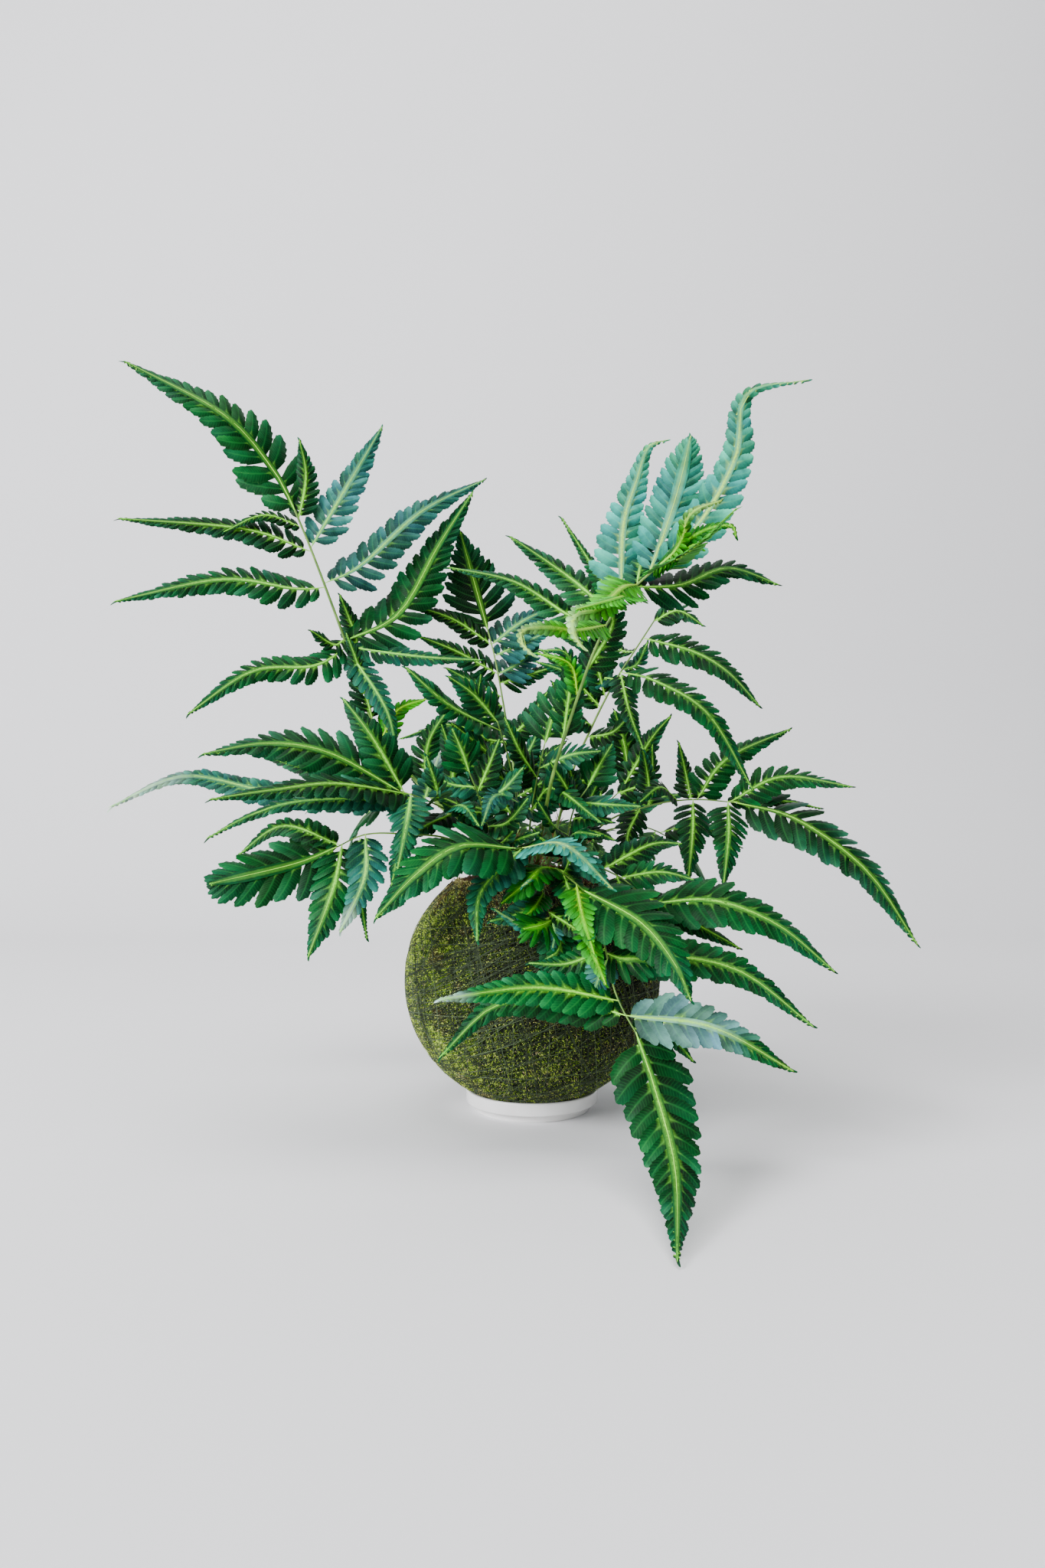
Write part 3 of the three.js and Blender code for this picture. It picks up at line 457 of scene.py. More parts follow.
fronds["frond_back_high"] = dict(openness=0.16, root=(-3, 36), face=(0, -0.6, 0.8), rachis=[
    (-15, 92, 202), (-25, 128, 239), (-33, 150, 266),
], leaflets=[
    (1, 51, 1.2, "mid", (-42, 176, 287), (-54, 214, 298)),
    (0.92, 34, 1.4, "deep", (-66, 160, 273), (-112, 176, 262)),
    (0.92, 34, 1.4, "mid", (-2, 168, 273), (33, 190, 263)),
    (0.7, 32, 1.4, "deep", (-57, 124, 242), (-92, 136, 221)),
    (0.7, 30, 1.4, "mid", (8, 136, 240), (38, 156, 222)),
    (0.5, 30, 1.3, "deep", (-48, 100, 214), (-76, 104, 231)),
    (0.5, 30, 1.3, "deep", (4, 108, 220), (33, 112, 238)),
    (0.3, 26, 1.3, "deep", (-38, 80, 189), (-60, 84, 196)),
])
fronds["frond_back_left_low"] = dict(root=(-23, 22), face=(-0.2, -0.55, 0.8), rachis=[
    (-54, 72, 202), (-89, 104, 214), (-118, 126, 208),
], leaflets=[
    (1, 51, 1.2, "mid", (-140, 150, 193), (-156, 176, 164)),
    (0.9, 32, 1.4, "deep", (-138, 104, 220), (-177, 112, 200)),
    (0.85, 32, 1.4, "mid", (-93, 146, 204), (-86, 178, 182)),
    (0.62, 30, 1.4, "mid", (-86, 72, 228), (-111, 70, 235)),
    (0.6, 30, 1.4, "deep", (-50, 112, 202), (-39, 140, 184)),
    (0.4, 26, 1.3, "deep", (-53, 60, 225), (-72, 58, 244)),
    (0.95, 30, 1.3, "deep", (-118, 120, 239), (-105, 118, 263)),
])
fronds["frond_back_low"] = dict(root=(8, 46), face=(0, 0.5, 0.85), rachis=[
    (0, 96, 184), (4, 130, 189), (8, 158, 177),
], leaflets=[
    (1, 53, 1.2, "mid", (11, 180, 151), (14, 200, 110)),
    (0.86, 32, 1.4, "mid", (-27, 156, 177), (-56, 172, 151)),
    (0.86, 32, 1.4, "deep", (44, 160, 177), (74, 180, 153)),
    (0.6, 28, 1.4, "deep", (-32, 112, 187), (-57, 124, 172)),
    (0.6, 28, 1.4, "mid", (31, 118, 190), (60, 134, 184)),
])
fronds["frond_back_right_low"] = dict(root=(31, 16), face=(0.2, -0.55, 0.8), rachis=[
    (50, 84, 183), (88, 112, 188), (118, 132, 176),
], leaflets=[
    (1, 51, 1.2, "mid", (137, 152, 158), (153, 172, 130)),
    (0.88, 32, 1.4, "deep", (133, 110, 190), (166, 112, 172)),
    (0.85, 32, 1.4, "mid", (96, 150, 171), (94, 176, 144)),
    (0.6, 30, 1.4, "mid", (91, 84, 208), (120, 80, 214)),
    (0.58, 28, 1.4, "deep", (50, 118, 181), (49, 142, 159)),
    (0.75, 28, 1.3, "deep", (77, 112, 220), (64, 110, 247)),
])
fronds["frond_young_left"] = dict(root=(-22, -27), face=(0, -0.8, 0.6), rachis=[
    (-33, -58, 206), (-40, -66, 225),
], leaflets=[
    (1, 34, 1.1, "mid", (-44, -70, 237), (-50, -72, 251)),
    (0.85, 22, 1.3, "cool", (-52, -64, 217), (-65, -62, 225)),
    (0.8, 24, 1.3, "deep", (-27, -62, 230), (-21, -64, 245)),
    (0.5, 20, 1.3, "deep", (-40, -62, 193), (-46, -70, 198)),
    (0.45, 30, 1.4, "mid", (-16, -62, 193), (-3, -66, 208)),
    (0.7, 28, 1.4, "cool", (-19, -66, 213), (-6, -70, 227)),
    (0.3, 26, 1.4, "deep", (-20, -60, 180), (-10, -66, 190)),
    (0.6, 24, 1.5, "mid", (-44, -66, 200), (-56, -70, 205)),
    (0.12, 28, 1.6, "mid", (-6, -66, 177), (7, -76, 179), (15, -82, 175)),
    (0.2, 26, 1.5, "deep", (-10, -64, 182), (4, -72, 187)),
])
fronds["frond_young_right"] = dict(root=(20, -17), face=(0, -0.8, 0.6), rachis=[
    (26, -38, 199), (36, -42, 216),
], leaflets=[
    (1, 34, 1.1, "mid", (42, -46, 228), (51, -48, 243)),
    (0.8, 26, 1.3, "cool", (49, -56, 204), (67, -66, 203)),
    (0.75, 20, 1.3, "deep", (26, -34, 220), (23, -32, 232)),
    (0.5, 22, 1.3, "deep", (39, -50, 187), (51, -62, 182)),
    (0.4, 28, 1.4, "mid", (13, -52, 191), (3, -60, 206)),
    (0.75, 26, 1.4, "deep", (21, -50, 216), (11, -54, 231)),
    (0.25, 26, 1.4, "deep", (9, -52, 178), (0, -60, 189)),
    (0.6, 24, 1.5, "mid", (39, -52, 196), (50, -60, 193)),
    (0.12, 28, 1.6, "deep", (14, -66, 177), (4, -74, 184)),
    (0.2, 28, 1.5, "mid", (26, -60, 186), (42, -70, 185)),
    (0.1, 26, 1.5, "deep", (28, -62, 173), (39, -72, 166)),
])

frondLook = dict(
    ribSteps=81, soilSurface=163, rootDepth=138, rootUpright=12,
    stipeRadius=1.6, rachisRadius=0.75, rachisSides=10,
    fullLength=260,  # a rachis shorter than this is thinner, down to leastThickness
    leastThickness=0.55, scales=26, scaledShare=0.22, scaleLength=(3, 6.5),
    leastHalfWidth=0.9, ribRadius=(0.34, 0.1), ribRise=0.2, wingRows=22, wingRise=0.12,
    lobesAtLeast=4, lobePitch=8.6, smallestPitch=0.32, stagger=0.3,
    lowAngle=70, tipAngle=36, overlap=(1.24, 1.46),
    lobeReach=1.06, forwardCurl=0.24, bladeArch=0.06, halfThickness=0.2, droop=0.09, cup=0.24, twist=7,
    # how far the lobes differ from each other: their lean in radians, the others as shares
    leanWander=0.05, reachWander=0.035, widthWander=0.03, twistWander=0.09, droopWander=0.5, shadeWander=0.24,
    leafletWander=0.14, hueWander=(0.06, 0.036, 0.12), stripeWander=0.2, stripeReach=0.6, sheen=0.12,
    sheenColour="#3c9070",
    # a cast: colour of the foot, of the tip, of the stripe, and where along the leaflet foot turns to tip
    casts={
        "deep": ("#00260a", "#00361a", "#98ff48", 0.66),
        "mid": ("#02461a", "#044626", "#98ff4c", 0.66),
        "fresh": ("#0a6404", "#127004", "#9cff28", 0.6),
        "cool": ("#145a44", "#084c2e", "#98ff4c", 0.6),
        # blue: green with a painted bluish sheen of the sky
        "blue": ("#34706c", "#1a5c54", "#9cf45c", 0.6),
        "steel": ("#17584c", "#9cb8a8", "#a4ff60", 0.78),
        # painted light: the pale bluish sheen of strongly lit leaflets
        "haze": ("#309482", "#2c9070", "#ccff5c", 0.7),
        "fading": ("#6ca49c", "#004e20", "#acff4c", 0.6),
        "paleTip": ("#005820", "#b4ccc0", "#98ff30", 0.88),
        "bright": ("#289804", "#40b40a", "#b8fc14", 0.6),
        "young": ("#40ac08", "#94cc74", "#ccfc50", 0.76),
    },
)
# rows of one lobe: place along its length, half-width, and how far the row's edges are pushed outwards as teeth
lobeRows = np.array([
    [0.0, 0.84, 0], [0.14, 0.92, 0], [0.3, 0.98, 0], [0.43, 1.06, 0.026], [0.475, 0.96, -0.012],
    [0.59, 1.03, 0.034],
    [0.635, 0.89, -0.012], [0.74, 0.91, 0.036], [0.785, 0.74, -0.012], [0.875, 0.68, 0.032], [0.92, 0.46, 0],
    [0.97, 0.26, 0],
])
# the ring of vertices of one row: edge, two across the upper face, edge, middle of the lower face
ringAcross = np.array([-1, -0.4, 0.4, 1, 0])
ringRise = np.array([0, 1, 1, 0, -1])


def ribFrame(points, face):
    # positions, tangents, upper-side normals and sideways directions at equal steps along a rib
    centre, length = catmullRom(points, frondLook["ribSteps"])
    tangent = normalised(np.gradient(centre, axis=0))
    normal = normalised(face - tangent * (tangent @ face)[:, None])
    return centre, tangent, normal, np.cross(tangent, normal), length


def halfWidth(leaf, s):
    # half the leaflet's width: w/2 * min(1, (s + 0.03) / 0.12) * (1 - s^fullness), never under the least
    swell = np.minimum(1, (s + 0.03) / 0.12)
    return np.maximum(leaf["width"] / 2 * swell * (1 - s ** leaf["fullness"]), frondLook["leastHalfWidth"])


def stripeWidth(half, s):
    # the stripe narrows with the leaflet, below 13 mm of half-width, and over the first third from its foot
    fromFoot = 0.5 + 0.5 * np.minimum(1, s / 0.35)
    return frondLook["stripeReach"] * (0.2 + 0.8 * np.minimum(1, half / 13)) * fromFoot


def bladeFaces(rows):
    # a thin closed blade: rows of five vertices and a tip vertex; material 0 on the upper faces, 3 on the lower
    k = np.arange(rows - 1)[:, None] * 5
    ring = [(i, (i + 1) % 5) for i in range(5)]
    quads = np.concatenate([k + [a, b, b + 5, a + 5] for a, b in ring])
    tip, last = rows * 5, (rows - 1) * 5
    tris = np.array([[last + a, last + b, tip] for a, b in ring] + [[4, 1, 0], [4, 3, 2], [4, 2, 1]])
    return quads, tris, np.repeat([0, 0, 0, 3, 3], rows - 1), np.array([0, 0, 0, 3, 3, 3, 3, 3])


def manyBlades(co, sign, **values):
    # blades laid end to end; those with sign -1 are mirrored, so their faces are wound the other way
    n, perBlade = co.shape[:2]
    quads, tris, underQuads, underTris = bladeFaces((perBlade - 1) // len(ringAcross))
    first = (np.arange(n) * perBlade)[:, None, None]
    turn = (sign < 0)[:, None, None]
    quads, tris = (np.where(turn, faces[None, :, ::-1], faces[None]) + first for faces in (quads, tris))
    return {"co": co.reshape(-1, 3), "quads": quads.reshape(-1, 4), "tris": tris.reshape(-1, 3),
            "material": (np.tile(underQuads, n), np.tile(underTris, n)), "values": values}


def lobePlaces(leaf, length):
    # places along the rib, their pitch shrinking with the leaflet's half-width down to a share of the widest
    look = frondLook
    pitch = look["lobePitch"] * leaf["pitch"] * (leaf["width"] / 40) ** 0.6
    count = int(round(look["lobesAtLeast"] + length / pitch))
    s = np.linspace(0, 1, 200)
    half = halfWidth(leaf, s)
    least = look["smallestPitch"]
    dense = np.cumsum(1 / (least + (1 - least) * half / half.max()))
    t = (np.arange(count) + 0.5) / count
    return 0.03 + 0.95 * np.interp(t, dense / dense[-1], s)


def tintAlong(tints, s):
    # the leaflet's colour: its foot's, then its tip's, mixed over a fifth of its length round the turning place
    foot, tip, turning = tints
    share = np.clip((s - turning) / 0.2 + 0.5, 0, 1)[..., None]
    return foot * (1 - share) + tip * share


def lobesPart(rib, leaf, tints, stripe):
    # each lobe: origin + outward h (u + push |v|) + forward (w/2 v shape + curl h u^2)
    #            - up (arch h u + droop h u^2 + cup w/2 v^2 shape - sin(twist) w/2 v shape);
    # outward leads from the rib, forward to the leaflet's tip, up off the blade; u runs along a lobe, v across
    look = frondLook
    *ribLines, length = rib
    s = lobePlaces(leaf, length)
    count = len(s)
    gap = np.gradient(s) * length
    s = np.clip(np.r_[s, s + look["stagger"] * gap / length], 0.01, 0.985)
    gap, sign = np.tile(gap, 2), np.repeat([-1.0, 1.0], count)
    n = len(s) + 1
    half = halfWidth(leaf, s)
    lean = np.radians(look["lowAngle"] + (look["tipAngle"] - look["lowAngle"]) * s ** 1.8)
    lean = lean + rng.normal(0, look["leanWander"], n - 1)
    reach = look["lobeReach"] * half / np.sin(lean) * (1 + rng.normal(0, look["reachWander"], n - 1))
    overlap = np.interp(s, [0.35, 1], look["overlap"]) - leaf["openness"] * (1 - 0.5 * s)
    width = gap * overlap * np.sin(lean) * (1 + rng.normal(0, look["widthWander"], n - 1))
    # one more, narrow and straight ahead, is the leaflet's tip
    s, sign, half, lean = np.r_[s, 0.97], np.r_[sign, 1], np.r_[half, 0.9], np.r_[lean, 0]
    reach, width = np.r_[reach, 0.03 * length + 2.0], np.r_[width, 1.5]
    twist = np.radians(look["twist"]) + rng.normal(0, look["twistWander"], n)
    origin, tangent, up, sideways = (along(values, s) for values in ribLines)
    tangent, up = normalised(tangent), normalised(up)
    sideways = normalised(sideways) * sign[:, None]
    cosLean, sinLean = np.cos(lean)[:, None], np.sin(lean)[:, None]
    outward, forward = cosLean * tangent + sinLean * sideways, sinLean * tangent - cosLean * sideways
    perRow = len(ringAcross)
    u, shape, push = (np.r_[np.repeat(column, perRow), last][None, :, None]
                      for column, last in zip(lobeRows.T, (1, 0, 0)))
    v, rise = (np.r_[np.tile(column, len(lobeRows)), 0][None, :, None] for column in (ringAcross, ringRise))
    # lobes near the leaflet's foot narrow where they meet the rib, those near its tip widen
    neck = np.interp(s, [0, 0.25, 0.6], [0.36, 0.08, -0.3]) + leaf["openness"] * (1 - s)
    neck = np.where(leaf["width"] > 26, neck, 0)[:, None, None]
    shape = shape * (1 - neck * np.clip(1 - u / 0.4, 0, 1))
    h, w = reach[:, None, None], width[:, None, None] / 2
    droop = look["droop"] * (1 + rng.normal(0, look["droopWander"], n))[:, None, None]
    # past its foot a lobe turns so that its edge on the leaflet's tip side lies over the next lobe
    turned = np.sin(twist)[:, None, None] * np.clip(u / 0.4 - 0.1, 0, 1) * w * v * shape
    depth = look["bladeArch"] * h * u + droop * h * u ** 2 + look["cup"] * w * shape * v ** 2 - turned
    co = (origin[:, None] + outward[:, None] * h * (u + push * np.abs(v))
          + forward[:, None] * (w * v * shape + look["forwardCurl"] * h * u ** 2)
          - up[:, None] * (depth - rise * look["halfThickness"] * (1 - 0.7 * u)))
    shade = 1 + rng.normal(0, look["shadeWander"], (n, 1, 1)) + rng.normal(0, look["leafletWander"])
    shade = np.clip(shade, 0.45, 1.9) * (1 + rng.normal(0, 1, (n, 1, 3)) * look["hueWander"])
    # painted shade: darker by the rib and where the lobe before lies over it; painted light: lighter on the
    # edge that lies over the next; painted sheen of the sky: bluer towards its end
    shade = shade * (0.26 + 0.9 * u) * (1 + 0.42 * v * np.clip(u * 3, 0, 1))
    paintedSheen = np.clip(look["sheen"] * rng.uniform(0, 2) * (1 + rng.normal(0, 0.5, (n, 1, 1))), 0, 0.7) * u ** 2
    tint = tintAlong(tints, s)[:, None] * (1 - paintedSheen) + paintedSheen * linearColour(look["sheenColour"])[:3]
    stripeSize = (stripeWidth(half, s) * (1 + rng.normal(0, look["stripeWander"], n)))[:, None, None]
    full = np.ones(co.shape[:2] + (1,))
    return manyBlades(co, sign, fromRib=(full * h * u / stripeSize).ravel(), across=(full * v).ravel(),
                      out=(full * h * u).ravel(), tint=np.clip(full * shade * tint, 0, 1).reshape(-1, 3),
                      stripe=(full * stripe).reshape(-1, 3))


def wingPart(rib, leaf, tints, stripe):
    # the strip of blade that joins the lobes along the rib: wider against the half-width towards the tip
    look = frondLook
    centre, _, normal, sideways, _ = rib
    s = np.r_[np.linspace(0.02, 0.985, look["wingRows"]), 1.0]
    origin, up, side = along(centre, s), along(normal, s)[:, None], along(sideways, s)[:, None]
    half = halfWidth(leaf, s)
    wide = (0.05 + 0.09 * np.minimum(1, s / 0.4) + 0.4 * s ** 3) * half
    v, across = ringAcross[None, :, None], wide[:, None, None]
    thick = ringRise[None, :, None] * look["halfThickness"]
    lift = look["wingRise"] - look["bladeArch"] * across * np.abs(v) + thick
    co = origin[:, None] + side * across * v + up * lift
    co = np.vstack([co[:-1].reshape(-1, 3), origin[-1:]])
    perRow = len(ringAcross)
    away = np.r_[np.repeat(wide[:-1], perRow) * np.tile(np.abs(ringAcross), len(s) - 1), 0]
    stripeSize = np.r_[np.repeat(stripeWidth(half, s)[:-1], perRow), 1]
    tint = tintAlong(tints, np.r_[np.repeat(s[:-1], perRow), 1])
    return manyBlades(co[None], np.array([1.0]), fromRib=away / stripeSize, across=np.full(len(co), 0.6),
                      out=away, tint=tint, stripe=np.tile(stripe, (len(co), 1)))


def ribPart(rib, leaf, tints, stripe):
    # the leaflet's own rib: a fine tube just above the blade, thinning towards the tip
    centre, _, normal, sideways, _ = (values[:78:7] if np.ndim(values) else values for values in rib)
    radius = np.linspace(*frondLook["ribRadius"], len(centre)) * min(1, leaf["width"] / 30)
    part = tubes((centre + normal * frondLook["ribRise"])[None], radius[None], 6, sideways[None])
    count = len(part["co"])
    part["values"] = {"fromRib": np.zeros(count), "tint": np.tile(tints[0], (count, 1)),
                      "stripe": np.tile(stripe, (count, 1))}
    return part


def rachisPart(frond, rachis):
    # stipe and rachis: upright from the root to the soil's surface, then along the curve, slowly thinning
    look = frondLook
    depth = look["rootDepth"]
    path = np.vstack([[*frond["root"], depth], [*frond["root"], depth + look["rootUpright"]], rachis[::2]])
    length = np.linalg.norm(np.diff(rachis, axis=0), axis=1).sum()
    thickness = np.clip(length / look["fullLength"], look["leastThickness"], 1)
    radius = np.linspace(look["stipeRadius"], look["rachisRadius"], len(path)) * thickness
    return tubes(path[None], radius[None], look["rachisSides"], np.array([1.0, 0.1, 0]), material=1)


def scalesPart(rachis):
    # papery brown scales at the foot of a stipe: small pointed blades that hug it
    many = frondLook["scales"]
    where = rng.random(many) ** 1.6 * frondLook["scaledShare"]
    at = along(rachis, where)
    tangent = normalised(along(np.gradient(rachis, axis=0), where))
    turn = rng.random(many) * 2 * np.pi
    out = direction(0 * turn, turn)
    out = normalised(out - tangent * (out * tangent).sum(1, keepdims=True))
    reach = rng.uniform(*frondLook["scaleLength"], many)[:, None]
    end = at + out * (1.6 + 0.35 * reach) + tangent * reach * 0.9
    path = np.stack([at + out * 1.2, at + out * 1.9 + tangent * reach * 0.5, end], 1)
    return tubes(path, np.array([0.3, 0.45, 0.12]), 3, np.array([0.3, 0.2, 1.0]), material=2)


def buildFrond(name, frond, materials):
    # the rachis rises from the soil through its points; each leaflet's rib starts on it
    face = normalised(np.array(frond["face"], float))
    foot = (*frond["root"], frondLook["soilSurface"])
    rachis, _ = catmullRom([foot, *frond["rachis"]], frondLook["ribSteps"])
    parts = [rachisPart(frond, rachis), scalesPart(rachis)]
    for at, width, fullness, cast, *points in frond["leaflets"]:
        leaf = dict(width=width, fullness=fullness, face=face, pitch=1, openness=frond.get("openness", 0))
        if isinstance(points[-1], dict):
            leaf.update(points.pop())
        rib = ribFrame([along(rachis, [min(at, 0.99)])[0], *points], np.array(leaf["face"], float))
        *colours, turning = frondLook["casts"][cast]
        foot, tip, stripe = (np.array(linearColour(c)[:3]) for c in colours)
        parts += [make(rib, leaf, (foot, tip, turning), stripe) for make in (lobesPart, wingPart, ribPart)]
    piece = makeObject(name.replace("frond_", "fern_"), parts, materials, 50)
    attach(piece, "root")
    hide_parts(name)


def bladeMaterial(name, roughness, dark, paleness):
    # living fern blade: mottled green flesh, slanting side veins and a yellow-green flame along the rib; its
    # specular level is low, because a full one veils the green in soft light
    material, add, place, feed = startMaterial(name, roughness, IOR=1.45, Specular_IOR_Level=0.08)
    smooth, colours = dict(interpolation_type="SMOOTHSTEP"), dict(output=2, data_type="RGBA")
    fromRib, out, across = (add("Attribute", attribute_name=label, output="Fac")
                            for label in ("fromRib", "out", "across"))
    tint, stripe = (add("Attribute", attribute_name=label, output="Color") for label in ("tint", "stripe"))
    mottle = add("TexNoise", {"Vector": place, "Scale": 130, "Detail": 4})  # 8 mm
    fine = add("TexNoise", {"Vector": place, "Scale": 800, "Detail": 2})  # 1 mm
    side = add("Math", [across], operation="ABSOLUTE")
    # the flame runs out along each lobe's midvein: fromRib * (0.34 + side) + 1.7 * (fine - 0.5)
    spread = add("Math", [side, 0.34], operation="ADD")
    broken = add("Math", [fine, 1.7, -0.85], operation="MULTIPLY_ADD")
    reach = add("Math", [fromRib, spread, broken], operation="MULTIPLY_ADD")
    # side veins leave the midvein at a slant, about 1.7 mm apart: sine of (out - 2.4 side) * 3.7
    slant = add("Math", [side, -2.4, out], operation="MULTIPLY_ADD")
    veins = add("Math", [add("Math", [slant, 3.7], operation="MULTIPLY")], operation="SINE")
    veins = add("MapRange", [veins, 0.2, 1, 0, 0.2], **smooth)
    for ends in ([0.2, 0, 0, 0.5], [0.84, 1, 0, 0.34]):  # the lobe's midvein, then its pale rim
        veins = add("Math", [veins, add("MapRange", [side, *ends], **smooth)], operation="MAXIMUM")
    shadow = add("MapRange", [mottle, 0.35, 0.75, 0, 0.8], **smooth)
    flesh = add("Mix", {0: shadow, 6: tint, 7: linearColour(dark)}, blend_type="MULTIPLY", **colours)
    veined = add("Math", [veins, 0.52], operation="MULTIPLY")
    flesh = add("Mix", {0: veined, 6: flesh, 7: linearColour("#2c7c34")}, blend_type="ADD", **colours)
    flesh = add("Mix", {0: add("MapRange", [reach, 0.8, 5, 0.2, 0], **smooth), 6: flesh, 7: stripe}, **colours)
    core = {0: add("MapRange", [reach, 0, 0.9, 0.45, 0], **smooth), 6: stripe, 7: linearColour("#d0f468")}
    flame = add("MapRange", [reach, 0.3, 2, 1, 0], **smooth)
    uneven = add("Math", [mottle, 0.8, 0.5], operation="MULTIPLY_ADD")
    flame = add("Math", [flame, uneven], operation="MULTIPLY")
    striped = add("Mix", {0: flame, 6: flesh, 7: add("Mix", core, **colours)}, **colours)
    feed("Base Color", add("Mix", {0: paleness, 6: striped, 7: linearColour("#5f8f58")}, **colours))
    feed("Roughness", add("MapRange", {"Value": fine, "To Min": roughness - 0.08, "To Max": roughness + 0.12}))
    height = add("Math", [add("Math", [fine, 0.3], operation="MULTIPLY"), veins], operation="SUBTRACT")
    feed("Normal", add("Bump", {"Height": height, "Strength": 0.4, "Distance": 0.0003}))
    return material


def stalkMaterial():
    # green stalk skin, olive where it ages: satin, faintly ribbed; noise of 17 mm
    return grainedMaterial("fernStalkSkin", 0.45, 60, 4, [(0.3, "#3e661e"), (0.5, "#5c842e"), (0.7, "#80a848")],
                           (0.4, 0.0005), IOR=1.45)


def scaleMaterial():
    # dry papery scale: rusty brown and dull; noise of 3 mm
    return grainedMaterial("dryStalkScale", 0.8, 300, 3, [(0.3, "#4a2e18"), (0.7, "#9a6c3c")], IOR=1.4)


# the dish in mm: a narrow foot band under a wider rim, and a shallow well that the ball lies in
dishLook = dict(footRadius=39, bandHeight=5, radius=44.5, height=13.5, wall=3, wellRadius=35.5, floor=3.5,
                sides=128, rounding=[0.5, 0.5, 0.9, 1.3, 1.3, 1.5, 2.0])


def arcCorner(corner, before, after, radius, steps=6):
    # rounded corner: a quadratic curve from a point `radius` short of the corner to one `radius` past it
    corner, before, after = (np.array(p, float) for p in (corner, before, after))
    a = corner + normalised(before - corner) * radius
    b = corner + normalised(after - corner) * radius
    t = np.linspace(0, 1, steps)[:, None]
    return (1 - t) ** 2 * a + 2 * t * (1 - t) * corner + t ** 2 * b


def buildDish():
    # a profile of (radius, height) turned about the upright axis: (r, z) -> (r cos a, r sin a, z)
    d = dishLook
    well = d["radius"] - d["wall"]
    line = [(0, 0), (d["footRadius"], 0), (d["footRadius"] + 0.6, d["bandHeight"] - 0.6),
            (d["radius"], d["bandHeight"] + 0.2), (d["radius"] + 0.05, d["height"]), (well, d["height"]),
            (well - 1.2, d["floor"] + 3), (d["wellRadius"], d["floor"]), (0, d["floor"])]
    profile = np.vstack([arcCorner(*corner) for corner in zip(line[1:-1], line, line[2:], d["rounding"])])
    a = np.linspace(0, 2 * np.pi, d["sides"], endpoint=False)
    radius, height = profile[:, :1], np.repeat(profile[:, 1:], d["sides"], 1)
    rings = np.stack([radius * np.cos(a), radius * np.sin(a), height], -1)
    piece = makeObject("glazed_dish", [ringedPart(rings, [0, 0, 0], [0, 0, d["floor"]])], [glazeMaterial()], 40)
    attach(piece, "root")
    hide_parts("dish")


def glazeMaterial():
    # white stoneware under a clear glaze: even, softly glossy, with the faint unevenness of poured glaze, 22 mm
    return grainedMaterial("whiteGlazedStoneware", 0.22, 45, 2, [(0.3, "#efedea"), (0.7, "#f8f7f5")],
                           (0.2, 0.0006), IOR=1.5, Coat_Weight=0.3, Coat_Roughness=0.12)


# the moss ball in mm and degrees above level; lumps are (height, size, seed) of its swells, tufts and grain
ballLook = dict(radius=85, halfHeight=83, centre=86.85, mossThickness=6, opening=48, rows=150, sides=300,
                lumps=[(0.99, 17, 5), (0.88, 4.5, 6), (0.55, 1.9, 7)],
                leaves=45000, lowestLeaf=-0.985, middle=-0.25,
                leafLength=(1.2, 2.6), leafHalfWidth=(0.26, 0.5),
                leafSunk=0.4, leafOutward=0.5, leafLean=0.6, leafTurn=0.4,
                # the tone of the layer under the leaves is low: painted shade between them
                footAngle=-89, edgeStart=0.975, edgeSink=2.5, shadedGapTone=0.12,
                ragged=[(5, 2, 0.6), (4, 5, 2)])  # of the opening: degrees, waves round it, phase


def ballPoint(unit, radius):
    # a direction from the ball's centre, scaled to the radius, its height pressed by halfHeight / radius
    b = ballLook
    return unit * radius * [1, 1, b["halfHeight"] / b["radius"]] + [0, 0, b["centre"]]


def mossHeight(unit):
    # lumps of moss above the ball's radius: the sum of height * (noise - 1/2)
    at = ballPoint(unit, ballLook["radius"])
    return sum(height * (valueNoise(at, size, seed) - 0.5) for height, size, seed in ballLook["lumps"])


def mossLayerPart():
    # outside: latitude rows from the foot to the ragged opening; inside: every sixth row, back at less radius
    b = ballLook
    a = np.linspace(0, 2 * np.pi, b["sides"], endpoint=False)
    rim = sum((rise * np.sin(a * waves + phase) for rise, waves, phase in b["ragged"]), b["opening"])
    t = np.linspace(0, 1, b["rows"])[:, None]
    unit = direction(np.radians(b["footAngle"] + (rim - b["footAngle"]) * t), a)
    edge = 1 - np.clip((t - b["edgeStart"]) / (1 - b["edgeStart"]), 0, 1) ** 2
    outer = ballPoint(unit, (b["radius"] - b["edgeSink"] * (1 - edge) + mossHeight(unit) * edge)[..., None])
    inner = ballPoint(unit[::-6], b["radius"] - b["mossThickness"])
    count = (len(outer) + len(inner)) * b["sides"] + 2
    foot = b["centre"] - b["halfHeight"]
    # the layer has the low gap tone and no tip: painted shade between the moss leaves
    return ringedPart(np.concatenate([outer, inner]), [0, 0, foot], [0, 0, foot + b["mossThickness"]],
                      tip=np.zeros(count), tone=np.full(count, b["shadedGapTone"]))


